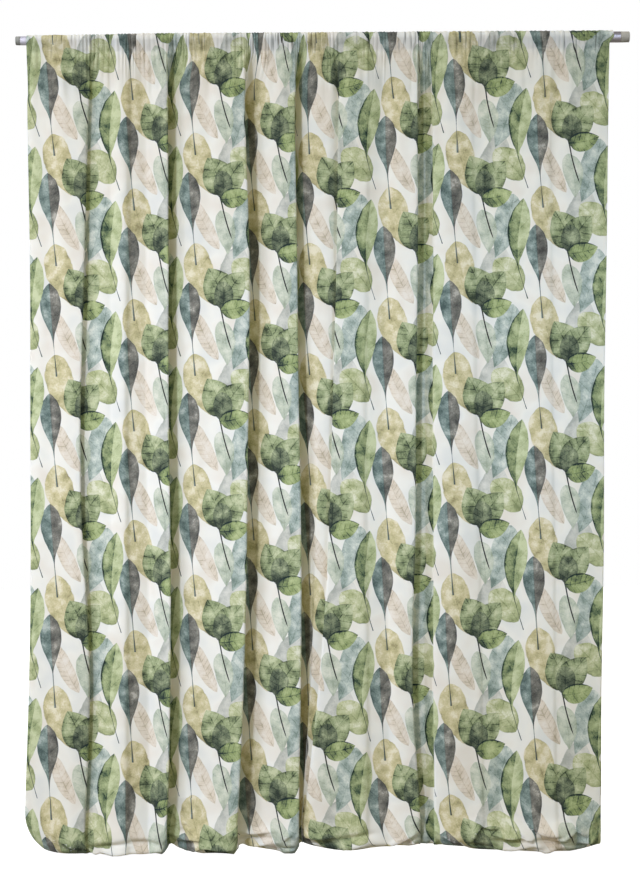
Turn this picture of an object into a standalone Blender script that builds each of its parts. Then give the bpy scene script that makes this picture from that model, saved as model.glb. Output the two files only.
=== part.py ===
"""A window curtain on its rod: one printed sheet, gathered on a telescopic tube and hanging to the floor.

Metres, +Z up, +X to the right and -Y to the front. The origin is the middle of the rod's axis.
"""

from typing import NamedTuple

import bmesh
import bpy
import numpy as np

COLLECTION = "window_curtain"

# The rod: a thin tube on the left that slides into a wide one on the right, each end closed by a cap.
ROD_LENGTH = 1.800
THIN_RADIUS = 0.0130
THIN_BORE = 0.0118
WIDE_RADIUS = 0.0160
WIDE_BORE = 0.0136
WIDE_START = -0.505
THIN_END = -0.205
LEFT_CAP_LENGTH = 0.014
RIGHT_CAP_LENGTH = 0.026
SPIGOT_LENGTH = 0.020
SPIGOT_PLAY = 0.0004
CAP_CHAMFER = 0.001
SEAT_GAP = 0.0003
TURNED_SIDES = 28

# The cloth
CLOTH = 0.0015
FLOOR_Z = -2.398
SEAM_Z = -0.036
FOLD_ROUNDING = 0.006
FACE_BOW = 0.004
BACK_LAYER = 0.0024
OPENING = 0.4
WIDE_GAP = 0.030

# The rod pocket: the cloth's middle line runs round the tubes at these radii.
THIN_POCKET = 0.0148
WIDE_POCKET = 0.0178
STEP_FROM = -0.70
STEP_TO = -0.52
PUCKER = 0.0016
POCKET_SPREAD = 0.012
SPREAD_FROM = -0.018
SPREAD_FADE = 0.016
POCKET_ANGLES = (-31, 0, 30, 60, 90, 120, 150, 180, 211)

# Columns of the sheet between two corners of its section.
FACE_STEPS = 3
FLANK_STEPS = 2
SECTION_SAMPLES = 2400

# Heights at which the folds and the side edges are given.
LEVELS = (-0.18, -0.68, -1.35, -1.94, -2.30)


class Fold(NamedTuple):
    """One fold: the line of its crest down the cloth, and the recess beside it."""

    name: str
    crest: tuple  # x of the crest at each of the LEVELS
    gap: tuple  # width of the recess at each of the LEVELS
    front: float  # how far the crest stands in front of the rod's axis
    back: float  # how far behind the axis the recess reaches
    shoulder: float  # how far behind the axis the recess ends and the next face starts
    tuck: float  # how far the recess runs in behind its crest
    turn: int  # 1 where the recess is on the crest's right, -1 on its left


LEFT_EDGE = (-0.867, -0.866, -0.868, -0.874, -0.891)
RIGHT_EDGE = (0.840, 0.831, 0.819, 0.807, 0.803)
EDGE_BACK = 0.010

FOLDS = (
    Fold("first", (-0.683, -0.701, -0.717, -0.693, -0.709), (0.059, 0.073, 0.085, 0.041, 0.041),
         0.006, 0.013, 0.004, 0.007, 1),
    Fold("soft", (-0.572, -0.578, -0.585, -0.589, -0.591), (0.055, 0.055, 0.062, 0.065, 0.065),
         0.009, 0.001, 0.009, -0.008, 1),
    Fold("left deep", (-0.453, -0.455, -0.453, -0.457, -0.469), (0.029, 0.026, 0.035, 0.038, 0.044),
         0.021, 0.036, 0.014, 0.014, 1),
    Fold("middle deep", (-0.226, -0.219, -0.228, -0.241, -0.262), (0.032, 0.032, 0.038, 0.038, 0.050),
         0.026, 0.042, 0.014, 0.014, 1),
    Fold("right deep", (-0.079, -0.078, -0.074, -0.074, -0.083), (0.023, 0.023, 0.035, 0.026, 0.012),
         0.024, 0.042, 0.010, 0.012, 1),
    Fold("leaning", (0.047, 0.035, 0.010, -0.029, -0.072), (0.041, 0.041, 0.029, 0.021, 0.006),
         0.008, 0.006, -0.002, 0.007, -1),
    Fold("rounded", (0.129, 0.123, 0.113, 0.115, 0.113), (0.062, 0.062, 0.066, 0.066, 0.066),
         0.008, 0.000, 0.008, -0.008, 1),
    Fold("channel left", (0.278, 0.274, 0.267, 0.254, 0.273), (0.017, 0.017, 0.018, 0.020, 0.015),
         0.010, 0.022, 0.019, 0.006, 1),
    Fold("channel right", (0.320, 0.318, 0.317, 0.313, 0.312), (0.016, 0.017, 0.018, 0.020, 0.015),
         0.008, 0.022, 0.019, 0.004, -1),
    Fold("shallow", (0.438, 0.436, 0.444, 0.453, 0.452), (0.055, 0.055, 0.055, 0.050, 0.050),
         0.005, 0.001, 0.005, -0.006, 1),
    Fold("last", (0.666, 0.666, 0.665, 0.668, 0.670), (0.030, 0.030, 0.030, 0.030, 0.030),
         0.004, 0.001, 0.003, -0.004, 1),
)


class Row(NamedTuple):
    """One row of the hanging cloth: its height, and the share of the folds' full depth it has."""

    z: float
    depth: float


SEAM = Row(SEAM_Z, 0.20)
HANGING = (
    Row(-0.060, 0.38),
    Row(-0.105, 0.68),
    Row(-0.180, 0.92),
    Row(-0.350, 1.00),
    Row(-0.680, 1.00),
    Row(-1.350, 1.00),
    Row(-1.650, 1.00),
    Row(-1.940, 1.00),
    Row(-2.130, 1.00),
    Row(-2.225, 0.98),
)


class Break(NamedTuple):
    """One row of the cloth where it breaks on the floor."""

    height: float  # above the floor, for cloth whose hem lies on it
    depth: float  # share of the folds' full depth
    bulge: float  # share of the hem's bulge to the front
    sweep: float  # share of the hem's sweep to the back


BREAKS = (
    Break(0.110, 0.96, 0.30, 0.00),
    Break(0.068, 0.92, 0.80, 0.00),
    Break(0.036, 0.86, 1.00, 0.04),
    Break(0.014, 0.76, 0.75, 0.22),
    Break(0.004, 0.64, 0.30, 0.55),
    Break(0.001, 0.52, 0.00, 1.00),
)


class HemPoint(NamedTuple):
    """How the hem meets the floor at one place along the curtain."""

    x: float
    lift: float  # height of the hem above the floor
    bulge: float  # how far the cloth above it swells to the front
    sweep: float  # how far back the hem lies


HEM = (
    HemPoint(-0.860, 0.004, 0.000, 0.050),
    HemPoint(-0.780, 0.000, 0.010, 0.060),
    HemPoint(-0.600, 0.001, 0.012, 0.050),
    HemPoint(-0.484, 0.002, 0.010, 0.045),
    HemPoint(-0.468, 0.026, 0.004, 0.025),
    HemPoint(-0.440, 0.019, 0.002, 0.020),
    HemPoint(-0.410, 0.008, 0.006, 0.036),
    HemPoint(-0.380, 0.002, 0.010, 0.045),
    HemPoint(-0.276, 0.000, 0.010, 0.050),
    HemPoint(-0.260, 0.024, 0.004, 0.025),
    HemPoint(-0.225, 0.021, 0.002, 0.020),
    HemPoint(-0.190, 0.015, 0.006, 0.032),
    HemPoint(-0.150, 0.010, 0.008, 0.040),
    HemPoint(-0.096, 0.003, 0.010, 0.045),
    HemPoint(-0.080, 0.030, 0.004, 0.028),
    HemPoint(-0.050, 0.026, 0.002, 0.030),
    HemPoint(-0.020, 0.020, 0.006, 0.036),
    HemPoint(0.067, 0.007, 0.012, 0.045),
    HemPoint(0.120, 0.014, 0.010, 0.040),
    HemPoint(0.200, 0.021, 0.008, 0.035),
    HemPoint(0.340, 0.024, 0.008, 0.030),
    HemPoint(0.390, 0.020, 0.012, 0.034),
    HemPoint(0.440, 0.010, 0.018, 0.040),
    HemPoint(0.510, 0.006, 0.022, 0.046),
    HemPoint(0.600, 0.001, 0.022, 0.050),
    HemPoint(0.720, 0.001, 0.014, 0.050),
    HemPoint(0.775, 0.012, 0.006, 0.045),
    HemPoint(0.820, 0.025, 0.000, 0.040),
)
CORNER_HEIGHT = 0.150
CORNER_REACH = 0.060
CORNER_WIDTH = 0.050
CORNER_BACK = 0.050


def clear_scene():
    """Removes every object the file opened with."""
    for item in list(bpy.data.objects):
        bpy.data.objects.remove(item, do_unlink=True)


def smooth_step(value):
    """0 below 0, 1 above 1, and a soft slope between."""
    t = np.clip(value, 0.0, 1.0)
    return t * t * (3.0 - 2.0 * t)


def at_height(values, z):
    """A value given at each of the LEVELS, read at the height z on a smooth curve."""
    heights = -np.array(LEVELS)
    slopes = np.gradient(np.array(values), heights)
    depth = float(np.clip(-z, heights[0], heights[-1]))
    i = min(int(np.searchsorted(heights, depth, side="right")) - 1, len(heights) - 2)
    step = heights[i + 1] - heights[i]
    t = (depth - heights[i]) / step
    start = (1 + 2 * t) * (1 - t) ** 2 * values[i] + t * (1 - t) ** 2 * step * slopes[i]
    end = t * t * (3 - 2 * t) * values[i + 1] - t * t * (1 - t) * step * slopes[i + 1]
    return start + end


def fold_corners(fold, row):
    """The three corners of one fold at a row, from left to right."""
    crest = at_height(fold.crest, row.z)
    gap = at_height(fold.gap, row.z)
    tucked = fold.tuck * row.depth - OPENING * min(gap, WIDE_GAP) * (1.0 - row.depth)
    corners = [
        (crest, -fold.front * row.depth),
        (crest - fold.turn * tucked, fold.back * row.depth),
        (crest + fold.turn * gap, fold.shoulder * row.depth),
    ]
    return corners if fold.turn > 0 else corners[::-1]


def section_corners(row):
    """The corners of the cloth's cross-section at a row, from its left edge to its right edge."""
    corners = [(at_height(LEFT_EDGE, row.z), EDGE_BACK * row.depth)]
    for fold in FOLDS:
        corners += fold_corners(fold, row)
    corners.append((at_height(RIGHT_EDGE, row.z), EDGE_BACK * row.depth))
    return np.array(corners)


def column_steps():
    """How many columns lie between each corner of the section and the next."""
    steps = []
    for _ in FOLDS:
        steps += [FACE_STEPS, FLANK_STEPS, FLANK_STEPS]
    return steps + [FACE_STEPS]


def column_places(lengths):
    """Distance along the section of every column, and how far each column is across its own face."""
    places = []
    across = []
    for i, steps in enumerate(column_steps()):
        share = np.arange(steps) / steps
        places += list(lengths[i] + (lengths[i + 1] - lengths[i]) * share)
        across += list(share if steps == FACE_STEPS else 0.0 * share)
    return np.array(places + [lengths[-1]]), np.array(across + [0.0])


def rounded_section(row):
    """The cloth's cross-section at a row, its corners rounded: x and y of every column."""
    corners = section_corners(row)
    lengths = np.concatenate([[0.0], np.hypot(*np.diff(corners, axis=0).T).cumsum()])
    even = np.linspace(0.0, lengths[-1], SECTION_SAMPLES)
    pitch = even[1]
    reach = int(4 * FOLD_ROUNDING / pitch)
    kernel = np.exp(-0.5 * (np.arange(-reach, reach + 1) * pitch / FOLD_ROUNDING) ** 2)
    kernel /= kernel.sum()
    places, across = column_places(lengths)
    section = []
    for axis in (0, 1):
        line = np.interp(even, lengths, corners[:, axis])
        before = 2 * line[0] - line[reach:0:-1]
        after = 2 * line[-1] - line[-2 : -reach - 2 : -1]
        soft = np.convolve(np.concatenate([before, line, after]), kernel, "valid")
        section.append(np.interp(places, even, soft))
    section[1] = section[1] - FACE_BOW * row.depth * np.sin(np.pi * across)
    return section


def points(x, y, z):
    """Three arrays, or numbers, as one array of points."""
    return np.stack(np.broadcast_arrays(x, y, z), axis=-1)


def pocket_rows():
    """The rod pocket: up the back from the seam, over the rod and down its front to the seam."""
    x, y = rounded_section(SEAM)
    fullness = (y.max() - y) / (y.max() - y.min())
    on_wide = smooth_step((x - STEP_FROM) / (STEP_TO - STEP_FROM))
    radius = THIN_POCKET + (WIDE_POCKET - THIN_POCKET) * on_wide + PUCKER * fullness
    at_edge = smooth_step((x - x.max()) / CORNER_WIDTH + 1.0)
    rows = [points(x, y + BACK_LAYER, SEAM_Z)]
    for degrees in POCKET_ANGLES:
        angle = np.radians(degrees)
        z = radius * np.sin(angle)
        spread = POCKET_SPREAD * at_edge * smooth_step((z - SPREAD_FROM) / SPREAD_FADE)
        rows.append(points(x + spread, radius * np.cos(angle), z))
    return rows + [points(x, y, SEAM_Z)]


def hanging_rows():
    """The cloth from the seam down to where it starts to break."""
    rows = []
    for row in HANGING:
        x, y = rounded_section(row)
        rows.append(points(x, y, row.z))
    return rows


def floor_rows():
    """The cloth where it breaks on the floor and its hem runs back under it."""
    stations = np.array(HEM)
    rows = []
    for step in BREAKS:
        x, y = rounded_section(Row(FLOOR_Z + step.height, step.depth))
        lift, bulge, sweep = (np.interp(x, stations[:, 0], stations[:, i]) for i in (1, 2, 3))
        height = lift + step.height * (1.0 - lift / CORNER_HEIGHT) + CLOTH / 2
        low = np.clip(1.0 - height / CORNER_HEIGHT, 0.0, 1.0) ** 2.4
        corner = low * np.exp(-(x - x.min()) / CORNER_WIDTH)
        y = y - bulge * step.bulge + sweep * step.sweep + CORNER_BACK * corner
        rows.append(points(x + CORNER_REACH * corner, y, FLOOR_Z + height))
    return rows


def make_material(name, colour, metallic, roughness):
    """A plain Principled material."""
    material = bpy.data.materials.new(name)
    material.use_nodes = True
    shader = material.node_tree.nodes["Principled BSDF"]
    shader.inputs["Base Color"].default_value = (*colour, 1.0)
    shader.inputs["Metallic"].default_value = metallic
    shader.inputs["Roughness"].default_value = roughness
    return material


def add_object(name, bm, collection, material):
    """Turns a bmesh into a named object with its own material."""
    mesh = bpy.data.meshes.new(name)
    bm.to_mesh(mesh)
    bm.free()
    mesh.materials.append(material)
    item = bpy.data.objects.new(name, mesh)
    collection.objects.link(item)
    return item


def make_curtain(collection):
    """The sheet: a grid laid over the pocket, the hanging folds and the floor, then given its thickness."""
    rows = pocket_rows() + hanging_rows() + floor_rows()
    down = len(rows) - 1
    across = len(rows[0]) - 1
    bm = bmesh.new()
    bmesh.ops.create_grid(bm, x_segments=across, y_segments=down, size=0.5)
    for vertex in bm.verts:
        column = round((vertex.co.x + 0.5) * across)
        row = round((0.5 - vertex.co.y) * down)
        vertex.co = rows[row][column]
    cloth = make_material("printed_cloth", (0.62, 0.64, 0.50), 0.0, 0.85)
    curtain = add_object("curtain", bm, collection, cloth)
    curtain.data.shade_smooth()
    shell = curtain.modifiers.new("thickness", "SOLIDIFY")
    shell.thickness = CLOTH
    shell.offset = 0.0
    return curtain


def turned(name, profile, on_axis, collection, material):
    """A piece turned about X from a profile of (x, radius) points, its outer side run from right to left."""
    bm = bmesh.new()
    ring = [bm.verts.new((x, radius, 0.0)) for x, radius in profile]
    pairs = list(zip(ring, ring[1:]))
    if not on_axis:
        pairs.append((ring[-1], ring[0]))
    for start, end in pairs:
        bm.edges.new((start, end))
    item = add_object(name, bm, collection, material)
    screw = item.modifiers.new("turning", "SCREW")
    screw.axis = "X"
    screw.steps = TURNED_SIDES
    screw.render_steps = TURNED_SIDES
    screw.use_merge_vertices = on_axis
    screw.merge_threshold = 0.00001
    return item


def make_tube(name, left, right, radius, bore, collection, material):
    """A straight tube, open at both ends."""
    profile = [(right, radius), (left, radius), (left, bore), (right, bore)]
    return turned(name, profile, False, collection, material)


def make_cap(name, side, length, radius, bore, collection, material):
    """An end cap: a disc as wide as its tube, with a spigot that sits in the bore. side is -1 or 1."""
    end = ROD_LENGTH / 2
    inner = end - length
    spigot = bore - SPIGOT_PLAY
    profile = [
        (end, 0.0),
        (end, radius - CAP_CHAMFER),
        (end - CAP_CHAMFER, radius),
        (inner, radius),
        (inner, spigot),
        (inner - SPIGOT_LENGTH, spigot),
        (inner - SPIGOT_LENGTH, 0.0),
    ]
    placed = [(side * x, r) for x, r in profile]
    return turned(name, placed[::side], True, collection, material)


def make_rod(collection):
    """Both tubes and both caps."""
    half = ROD_LENGTH / 2
    thin_left = -half + LEFT_CAP_LENGTH + SEAT_GAP
    wide_right = half - RIGHT_CAP_LENGTH - SEAT_GAP
    steel = make_material("satin_steel", (0.62, 0.60, 0.62), 1.0, 0.28)
    darker_steel = make_material("dark_satin_steel", (0.42, 0.39, 0.39), 1.0, 0.30)
    left_plastic = make_material("left_cap_plastic", (0.34, 0.35, 0.30), 0.0, 0.45)
    right_plastic = make_material("right_cap_plastic", (0.45, 0.44, 0.37), 0.0, 0.45)
    make_tube("rod_thin_tube", thin_left, THIN_END, THIN_RADIUS, THIN_BORE, collection, steel)
    make_tube("rod_wide_tube", WIDE_START, wide_right, WIDE_RADIUS, WIDE_BORE, collection, darker_steel)
    make_cap("end_cap_left", -1, LEFT_CAP_LENGTH, THIN_RADIUS, THIN_BORE, collection, left_plastic)
    make_cap("end_cap_right", 1, RIGHT_CAP_LENGTH, WIDE_RADIUS, WIDE_BORE, collection, right_plastic)


def main():
    """Builds the curtain and its rod."""
    clear_scene()
    collection = bpy.data.collections.new(COLLECTION)
    bpy.context.scene.collection.children.link(collection)
    make_rod(collection)
    make_curtain(collection)


main()
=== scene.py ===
"""Looks of a printed window curtain on its telescopic rod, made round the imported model.

Metres, +Z up, +X to the right and -Y to the front. The origin is the middle of the rod's axis.
"""

import logging
import math
from dataclasses import dataclass, field
from enum import Enum

import bpy
import numpy as np
from mathutils import Matrix, Vector


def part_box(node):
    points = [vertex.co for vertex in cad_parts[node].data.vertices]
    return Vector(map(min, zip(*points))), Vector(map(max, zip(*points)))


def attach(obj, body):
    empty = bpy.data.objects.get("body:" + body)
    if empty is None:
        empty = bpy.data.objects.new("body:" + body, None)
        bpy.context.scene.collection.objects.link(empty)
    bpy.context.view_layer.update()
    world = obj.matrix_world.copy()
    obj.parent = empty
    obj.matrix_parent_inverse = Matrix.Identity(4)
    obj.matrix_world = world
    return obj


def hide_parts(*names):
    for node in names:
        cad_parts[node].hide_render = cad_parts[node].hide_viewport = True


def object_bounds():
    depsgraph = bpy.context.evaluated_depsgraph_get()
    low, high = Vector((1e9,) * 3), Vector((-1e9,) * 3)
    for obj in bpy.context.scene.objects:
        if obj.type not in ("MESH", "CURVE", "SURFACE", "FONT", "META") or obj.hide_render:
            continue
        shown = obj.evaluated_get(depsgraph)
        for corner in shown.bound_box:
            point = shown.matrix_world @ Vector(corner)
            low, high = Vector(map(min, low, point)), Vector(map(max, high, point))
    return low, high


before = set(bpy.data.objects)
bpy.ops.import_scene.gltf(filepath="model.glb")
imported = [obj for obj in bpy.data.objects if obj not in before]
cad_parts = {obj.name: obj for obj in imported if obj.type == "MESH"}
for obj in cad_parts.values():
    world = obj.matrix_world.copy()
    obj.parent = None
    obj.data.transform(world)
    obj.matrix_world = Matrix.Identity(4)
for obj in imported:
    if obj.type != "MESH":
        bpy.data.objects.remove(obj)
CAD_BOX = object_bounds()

Array = np.ndarray
Socket = bpy.types.NodeSocket
Colour = tuple[float, float, float]
Stops = tuple[tuple[float, Colour], ...]
Curve = tuple[tuple[float, float], ...]

LOG = logging.getLogger("curtain")
BODY = "root"


# ------------------------------------------------------------------------------------------------
# Small tools


def smooth_step(value: Array) -> Array:
    """Eases a value.

    Args:
        value: Any numbers.

    Returns:
        0 below 0, 1 above 1, and a soft slope between.
    """
    t = np.clip(value, 0.0, 1.0)
    return t * t * (3.0 - 2.0 * t)


def through(places: Array, values: Array, at: Array) -> Array:
    """Reads a smooth curve that passes through given points.

    Args:
        places: Where the values are given, in rising order.
        values: The value at each place.
        at: Where the curve is read. Beyond the ends it keeps the end values.

    Returns:
        The curve's value at each place asked for.
    """
    x = np.asarray(places, float)
    y = np.asarray(values, float)
    slopes = np.gradient(y, x)
    where = np.clip(np.asarray(at, float), x[0], x[-1])
    i = np.clip(np.searchsorted(x, where, side="right") - 1, 0, len(x) - 2)
    step = x[i + 1] - x[i]
    t = (where - x[i]) / step
    start = (1 + 2 * t) * (1 - t) ** 2 * y[i] + t * (1 - t) ** 2 * step * slopes[i]
    end = t * t * (3 - 2 * t) * y[i + 1] - t * t * (1 - t) * step * slopes[i + 1]
    return start + end


def shade(red: int, green: int, blue: int) -> Colour:
    """Turns a colour in everyday 0 to 255 numbers into linear light.

    Args:
        red: Red, 0 to 255.
        green: Green, 0 to 255.
        blue: Blue, 0 to 255.

    Returns:
        The same colour as three linear numbers.
    """
    parts = [c / 255 for c in (red, green, blue)]
    return tuple(c / 12.92 if c <= 0.04045 else ((c + 0.055) / 1.055) ** 2.4 for c in parts)


def tones(*rows: tuple[float, int, int, int]) -> Stops:
    """Turns rows of a place and an everyday colour into the stops of a colour ramp."""
    return tuple((place, shade(red, green, blue)) for place, red, green, blue in rows)


def put_in_scene(name: str, data: bpy.types.ID) -> bpy.types.Object:
    """Puts one thing in the scene.

    Args:
        name: The object's name.
        data: Its mesh, light or camera.

    Returns:
        The object.
    """
    thing = bpy.data.objects.new(name, data)
    bpy.context.scene.collection.objects.link(thing)
    return thing


class Nodes:
    """Writes nodes into one tree. Each method adds a node and gives back its output."""

    def __init__(self, tree: bpy.types.NodeTree) -> None:
        """Keeps the tree to write in."""
        self.tree = tree

    def add(self, kind: str, **settings: object) -> bpy.types.Node:
        """Adds one node.

        Args:
            kind: The node's type.
            settings: Values for the node's own properties.

        Returns:
            The node.
        """
        node = self.tree.nodes.new(kind)
        for name, value in settings.items():
            setattr(node, name, value)
        return node

    def feed(self, socket: Socket, value: object) -> None:
        """Links a socket to another, or sets its value.

        Args:
            socket: The input to feed.
            value: An output to link, or a number, point or colour.
        """
        if isinstance(value, bpy.types.NodeSocket):
            self.tree.links.new(value, socket)
        elif isinstance(value, tuple) and len(value) == 3 and socket.type == "RGBA":
            socket.default_value = (*value, 1.0)
        else:
            socket.default_value = value

    def math(self, operation: str, *values: object, clamp: bool = False) -> Socket:
        """Works out one number.

        Args:
            operation: The name of the sum.
            values: Numbers or outputs.
            clamp: Whether the result is kept from 0 to 1.

        Returns:
            The result's output.
        """
        node = self.add("ShaderNodeMath", operation=operation, use_clamp=clamp)
        for socket, value in zip(node.inputs, values):
            self.feed(socket, value)
        return node.outputs[0]

    def vector(self, operation: str, *values: object) -> Socket:
        """Works out one vector.

        Args:
            operation: The name of the sum.
            values: Points or outputs.

        Returns:
            The result's output.
        """
        node = self.add("ShaderNodeVectorMath", operation=operation)
        for socket, value in zip(node.inputs, values):
            self.feed(socket, value)
        return node.outputs["Vector"]

    def split(self, point: Socket) -> tuple[Socket, Socket, Socket]:
        """Takes a point apart.

        Args:
            point: The point.

        Returns:
            Its x, y and z.
        """
        node = self.add("ShaderNodeSeparateXYZ")
        self.feed(node.inputs[0], point)
        return tuple(node.outputs)

    def point(self, x: Socket, y: object = 0.0) -> Socket:
        """Puts a flat point together.

        Args:
            x: Its x.
            y: Its y.

        Returns:
            The point.
        """
        node = self.add("ShaderNodeCombineXYZ")
        self.feed(node.inputs[0], x)
        self.feed(node.inputs[1], y)
        return node.outputs[0]

    def bump(self, height: Socket, strength: float, distance: float) -> Socket:
        """Roughens a surface.

        Args:
            height: The relief, 0 to 1.
            strength: How strongly it shows.
            distance: How tall a relief of 1 is, in metres.

        Returns:
            The bent normal.
        """
        node = self.add("ShaderNodeBump")
        self.feed(node.inputs["Height"], height)
        node.inputs["Strength"].default_value = strength
        node.inputs["Distance"].default_value = distance
        return node.outputs[0]

    def noise(self, place: Socket, scale: float, detail: float, stretch: tuple = (1.0, 1.0, 1.0),
              flat: bool = False) -> Socket:
        """Adds a soft random pattern.

        Args:
            place: Where the pattern is read.
            scale: How many blotches there are to a metre.
            detail: How many finer layers it has.
            stretch: How much denser it is along each axis.
            flat: Whether it only varies along x and y.

        Returns:
            The pattern's output, about 0.3 to 0.7.
        """
        if stretch != (1.0, 1.0, 1.0):
            place = self.vector("MULTIPLY", place, stretch)
        node = self.add("ShaderNodeTexNoise", noise_dimensions="2D" if flat else "3D")
        self.feed(node.inputs["Vector"], place)
        node.inputs["Scale"].default_value = scale
        node.inputs["Detail"].default_value = detail
        return node.outputs[0]

    def curve(self, value: Socket, points: Curve) -> Socket:
        """Reads a drawn curve.

        Args:
            value: Where the curve is read.
            points: The curve's points, each from 0 to 1.

        Returns:
            The curve's value.
        """
        node = self.add("ShaderNodeFloatCurve")
        self.feed(node.inputs["Value"], value)
        line = node.mapping.curves[0]
        for x, y in points[1:-1]:
            line.points.new(x, y)
        line.points[0].location = points[0]
        line.points[-1].location = points[-1]
        node.mapping.update()
        return node.outputs[0]

    def ramp(self, value: Socket, stops: Stops) -> Socket:
        """Turns a number into a colour.

        Args:
            value: The number, 0 to 1.
            stops: Places and their colours, in rising order.

        Returns:
            The colour's output.
        """
        node = self.add("ShaderNodeValToRGB")
        self.feed(node.inputs[0], value)
        elements = node.color_ramp.elements
        for place, _ in stops[1:-1]:
            elements.new(place)
        for element, (place, colour) in zip(elements, stops):
            element.position = place
            element.color = (*colour, 1.0)
        return node.outputs[0]

    def mix(self, share: object, first: object, second: object, blend: str = "MIX") -> Socket:
        """Mixes two colours.

        Args:
            share: How much of the second there is.
            first: The colour below.
            second: The colour above.
            blend: How the second is laid on the first.

        Returns:
            The mixed colour.
        """
        node = self.add("ShaderNodeMix", data_type="RGBA", blend_type=blend)
        self.feed(node.inputs[0], share)
        self.feed(node.inputs[6], first)
        self.feed(node.inputs[7], second)
        return node.outputs[2]


@dataclass
class Finish:
    """A material being made: the material, its tree to write in and its surface shader."""

    name: str
    material: bpy.types.Material = field(init=False)
    nodes: Nodes = field(init=False)
    surface: bpy.types.Node = field(init=False)

    def __post_init__(self) -> None:
        """Starts the material."""
        self.material = bpy.data.materials.new(self.name)
        self.material.use_nodes = True
        self.nodes = Nodes(self.material.node_tree)
        self.surface = self.material.node_tree.nodes["Principled BSDF"]

    def feed(self, name: str, value: Socket) -> None:
        """Links one input of the surface shader."""
        self.nodes.feed(self.surface.inputs[name], value)


# ------------------------------------------------------------------------------------------------
# The print


class Outline(Enum):
    """How wide a leaf is from its foot to its tip: shares of its length, then of its half width."""

    LANCE = ((0, 0.035), (0.20, 0.045), (0.27, 0.10), (0.38, 0.46), (0.53, 0.84), (0.67, 1), (0.81, 0.84),
             (0.93, 0.42), (1, 0))
    SPOON = ((0, 0.05), (0.22, 0.06), (0.30, 0.15), (0.44, 0.52), (0.58, 0.86), (0.71, 1), (0.84, 0.86),
             (0.94, 0.46), (1, 0))
    BROAD = ((0, 0), (0.05, 0.36), (0.18, 0.80), (0.36, 1), (0.56, 0.96), (0.77, 0.66), (0.92, 0.28), (1, 0))
    OVAL = ((0, 0), (0.08, 0.42), (0.25, 0.82), (0.50, 1), (0.75, 0.86), (0.92, 0.48), (1, 0))
    FEATHER = ((0, 0), (0.08, 0.22), (0.24, 0.60), (0.45, 0.92), (0.64, 1), (0.82, 0.84), (0.94, 0.46),
               (1, 0))
    STALK = ((0, 0.35), (0.10, 0.55), (0.80, 0.62), (0.95, 1), (1, 0.8))


class Bend(Enum):
    """How a leaf's middle line sways from its foot to its tip: shares of its length, then of its sway."""

    STRAIGHT = ((0, 0.5), (1, 0.5))
    HOOKED_FOOT = ((0, 1), (0.14, 0.68), (0.28, 0.42), (0.55, 0.30), (0.80, 0.38), (1, 0.50))
    BOWED = ((0, 0.5), (0.5, 1), (1, 0.5))
    CURVED = ((0, 1), (0.35, 0.72), (0.7, 0.55), (1, 0.5))


@dataclass(frozen=True)
class Paint:
    """A watercolour for one kind of leaf, from its darkest tone to its lightest."""

    tones: Stops
    level: float = 0.6
    across: float = 0.0
    along: float = 0.0
    split: float = 0.0
    mottle: float = 0.5
    veins: float = 0.2
    rim: float = 0.2
    rim_side: int = 0
    soft: float = 0.0012
    ragged: float = 0.003
    foot: float = 0.0
    strength: float = 1.0
    right_tones: Stops = ()


@dataclass(frozen=True)
class Leaf:
    """One leaf of the repeat: where it lies in the tile and how it is drawn."""

    name: str
    middle: tuple[float, float]
    lean: float
    length: float
    width: float
    outline: Outline
    paint: Paint
    bend: Bend = Bend.STRAIGHT
    sway: float = 0.0
    vein_pairs: float = 7.0
    vein_rise: float = 0.9


GROUND = shade(241, 242, 238)
CREAM_GROUND = shade(231, 225, 214)
COOL_GROUND = shade(222, 226, 226)
SKY_WASH = Paint(
    tones((0.0, 118, 138, 126), (0.35, 161, 177, 167), (0.7, 196, 207, 198), (1.0, 222, 228, 221)),
    level=0.60, along=0.10, across=0.12, mottle=0.95, veins=0.34, rim=0.12, foot=0.30,
    soft=0.0020, ragged=0.004, strength=0.94)
STRAW_WASH = Paint(
    tones((0.0, 148, 138, 86), (0.4, 196, 188, 136), (0.75, 218, 210, 168), (1.0, 234, 229, 204)),
    level=0.62, along=0.14, mottle=0.95, veins=0.26, rim=0.16, foot=0.18,
    soft=0.0020, ragged=0.005, strength=0.92)
LIME_WASH = Paint(
    tones((0.0, 126, 138, 84), (0.4, 178, 186, 133), (0.75, 208, 212, 171), (1.0, 230, 232, 210)),
    level=0.62, along=0.28, mottle=0.85, veins=0.36, rim=0.20, foot=0.25,
    soft=0.0018, ragged=0.004, strength=0.94)
REED_WASH = Paint(
    tones((0.0, 178, 164, 132), (0.5, 220, 209, 188), (1.0, 236, 231, 222)),
    level=0.66, mottle=0.70, veins=0.50, rim=0.16, soft=0.0018, ragged=0.003, strength=0.85)
MIST_WASH = Paint(
    tones((0.0, 170, 174, 162), (0.5, 205, 207, 198), (1.0, 229, 229, 224)),
    level=0.58, across=0.30, mottle=0.80, veins=0.16, rim=0.20, foot=0.20,
    soft=0.0020, ragged=0.005, strength=0.85)
DEW_WASH = Paint(
    tones((0.0, 150, 164, 140), (0.5, 196, 205, 184), (1.0, 226, 229, 216)),
    level=0.56, along=0.20, mottle=0.85, veins=0.28, rim=0.18, foot=0.20,
    soft=0.0020, ragged=0.004, strength=0.88)
TWO_TONE = Paint(
    tones((0.0, 38, 52, 44), (0.20, 78, 98, 74), (0.42, 136, 150, 106), (0.66, 177, 188, 140),
          (1.0, 210, 218, 178)),
    level=0.44, along=0.26, split=0.34, mottle=0.62, veins=0.30, rim=0.50, rim_side=-1, foot=0.55,
    ragged=0.0010)
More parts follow.
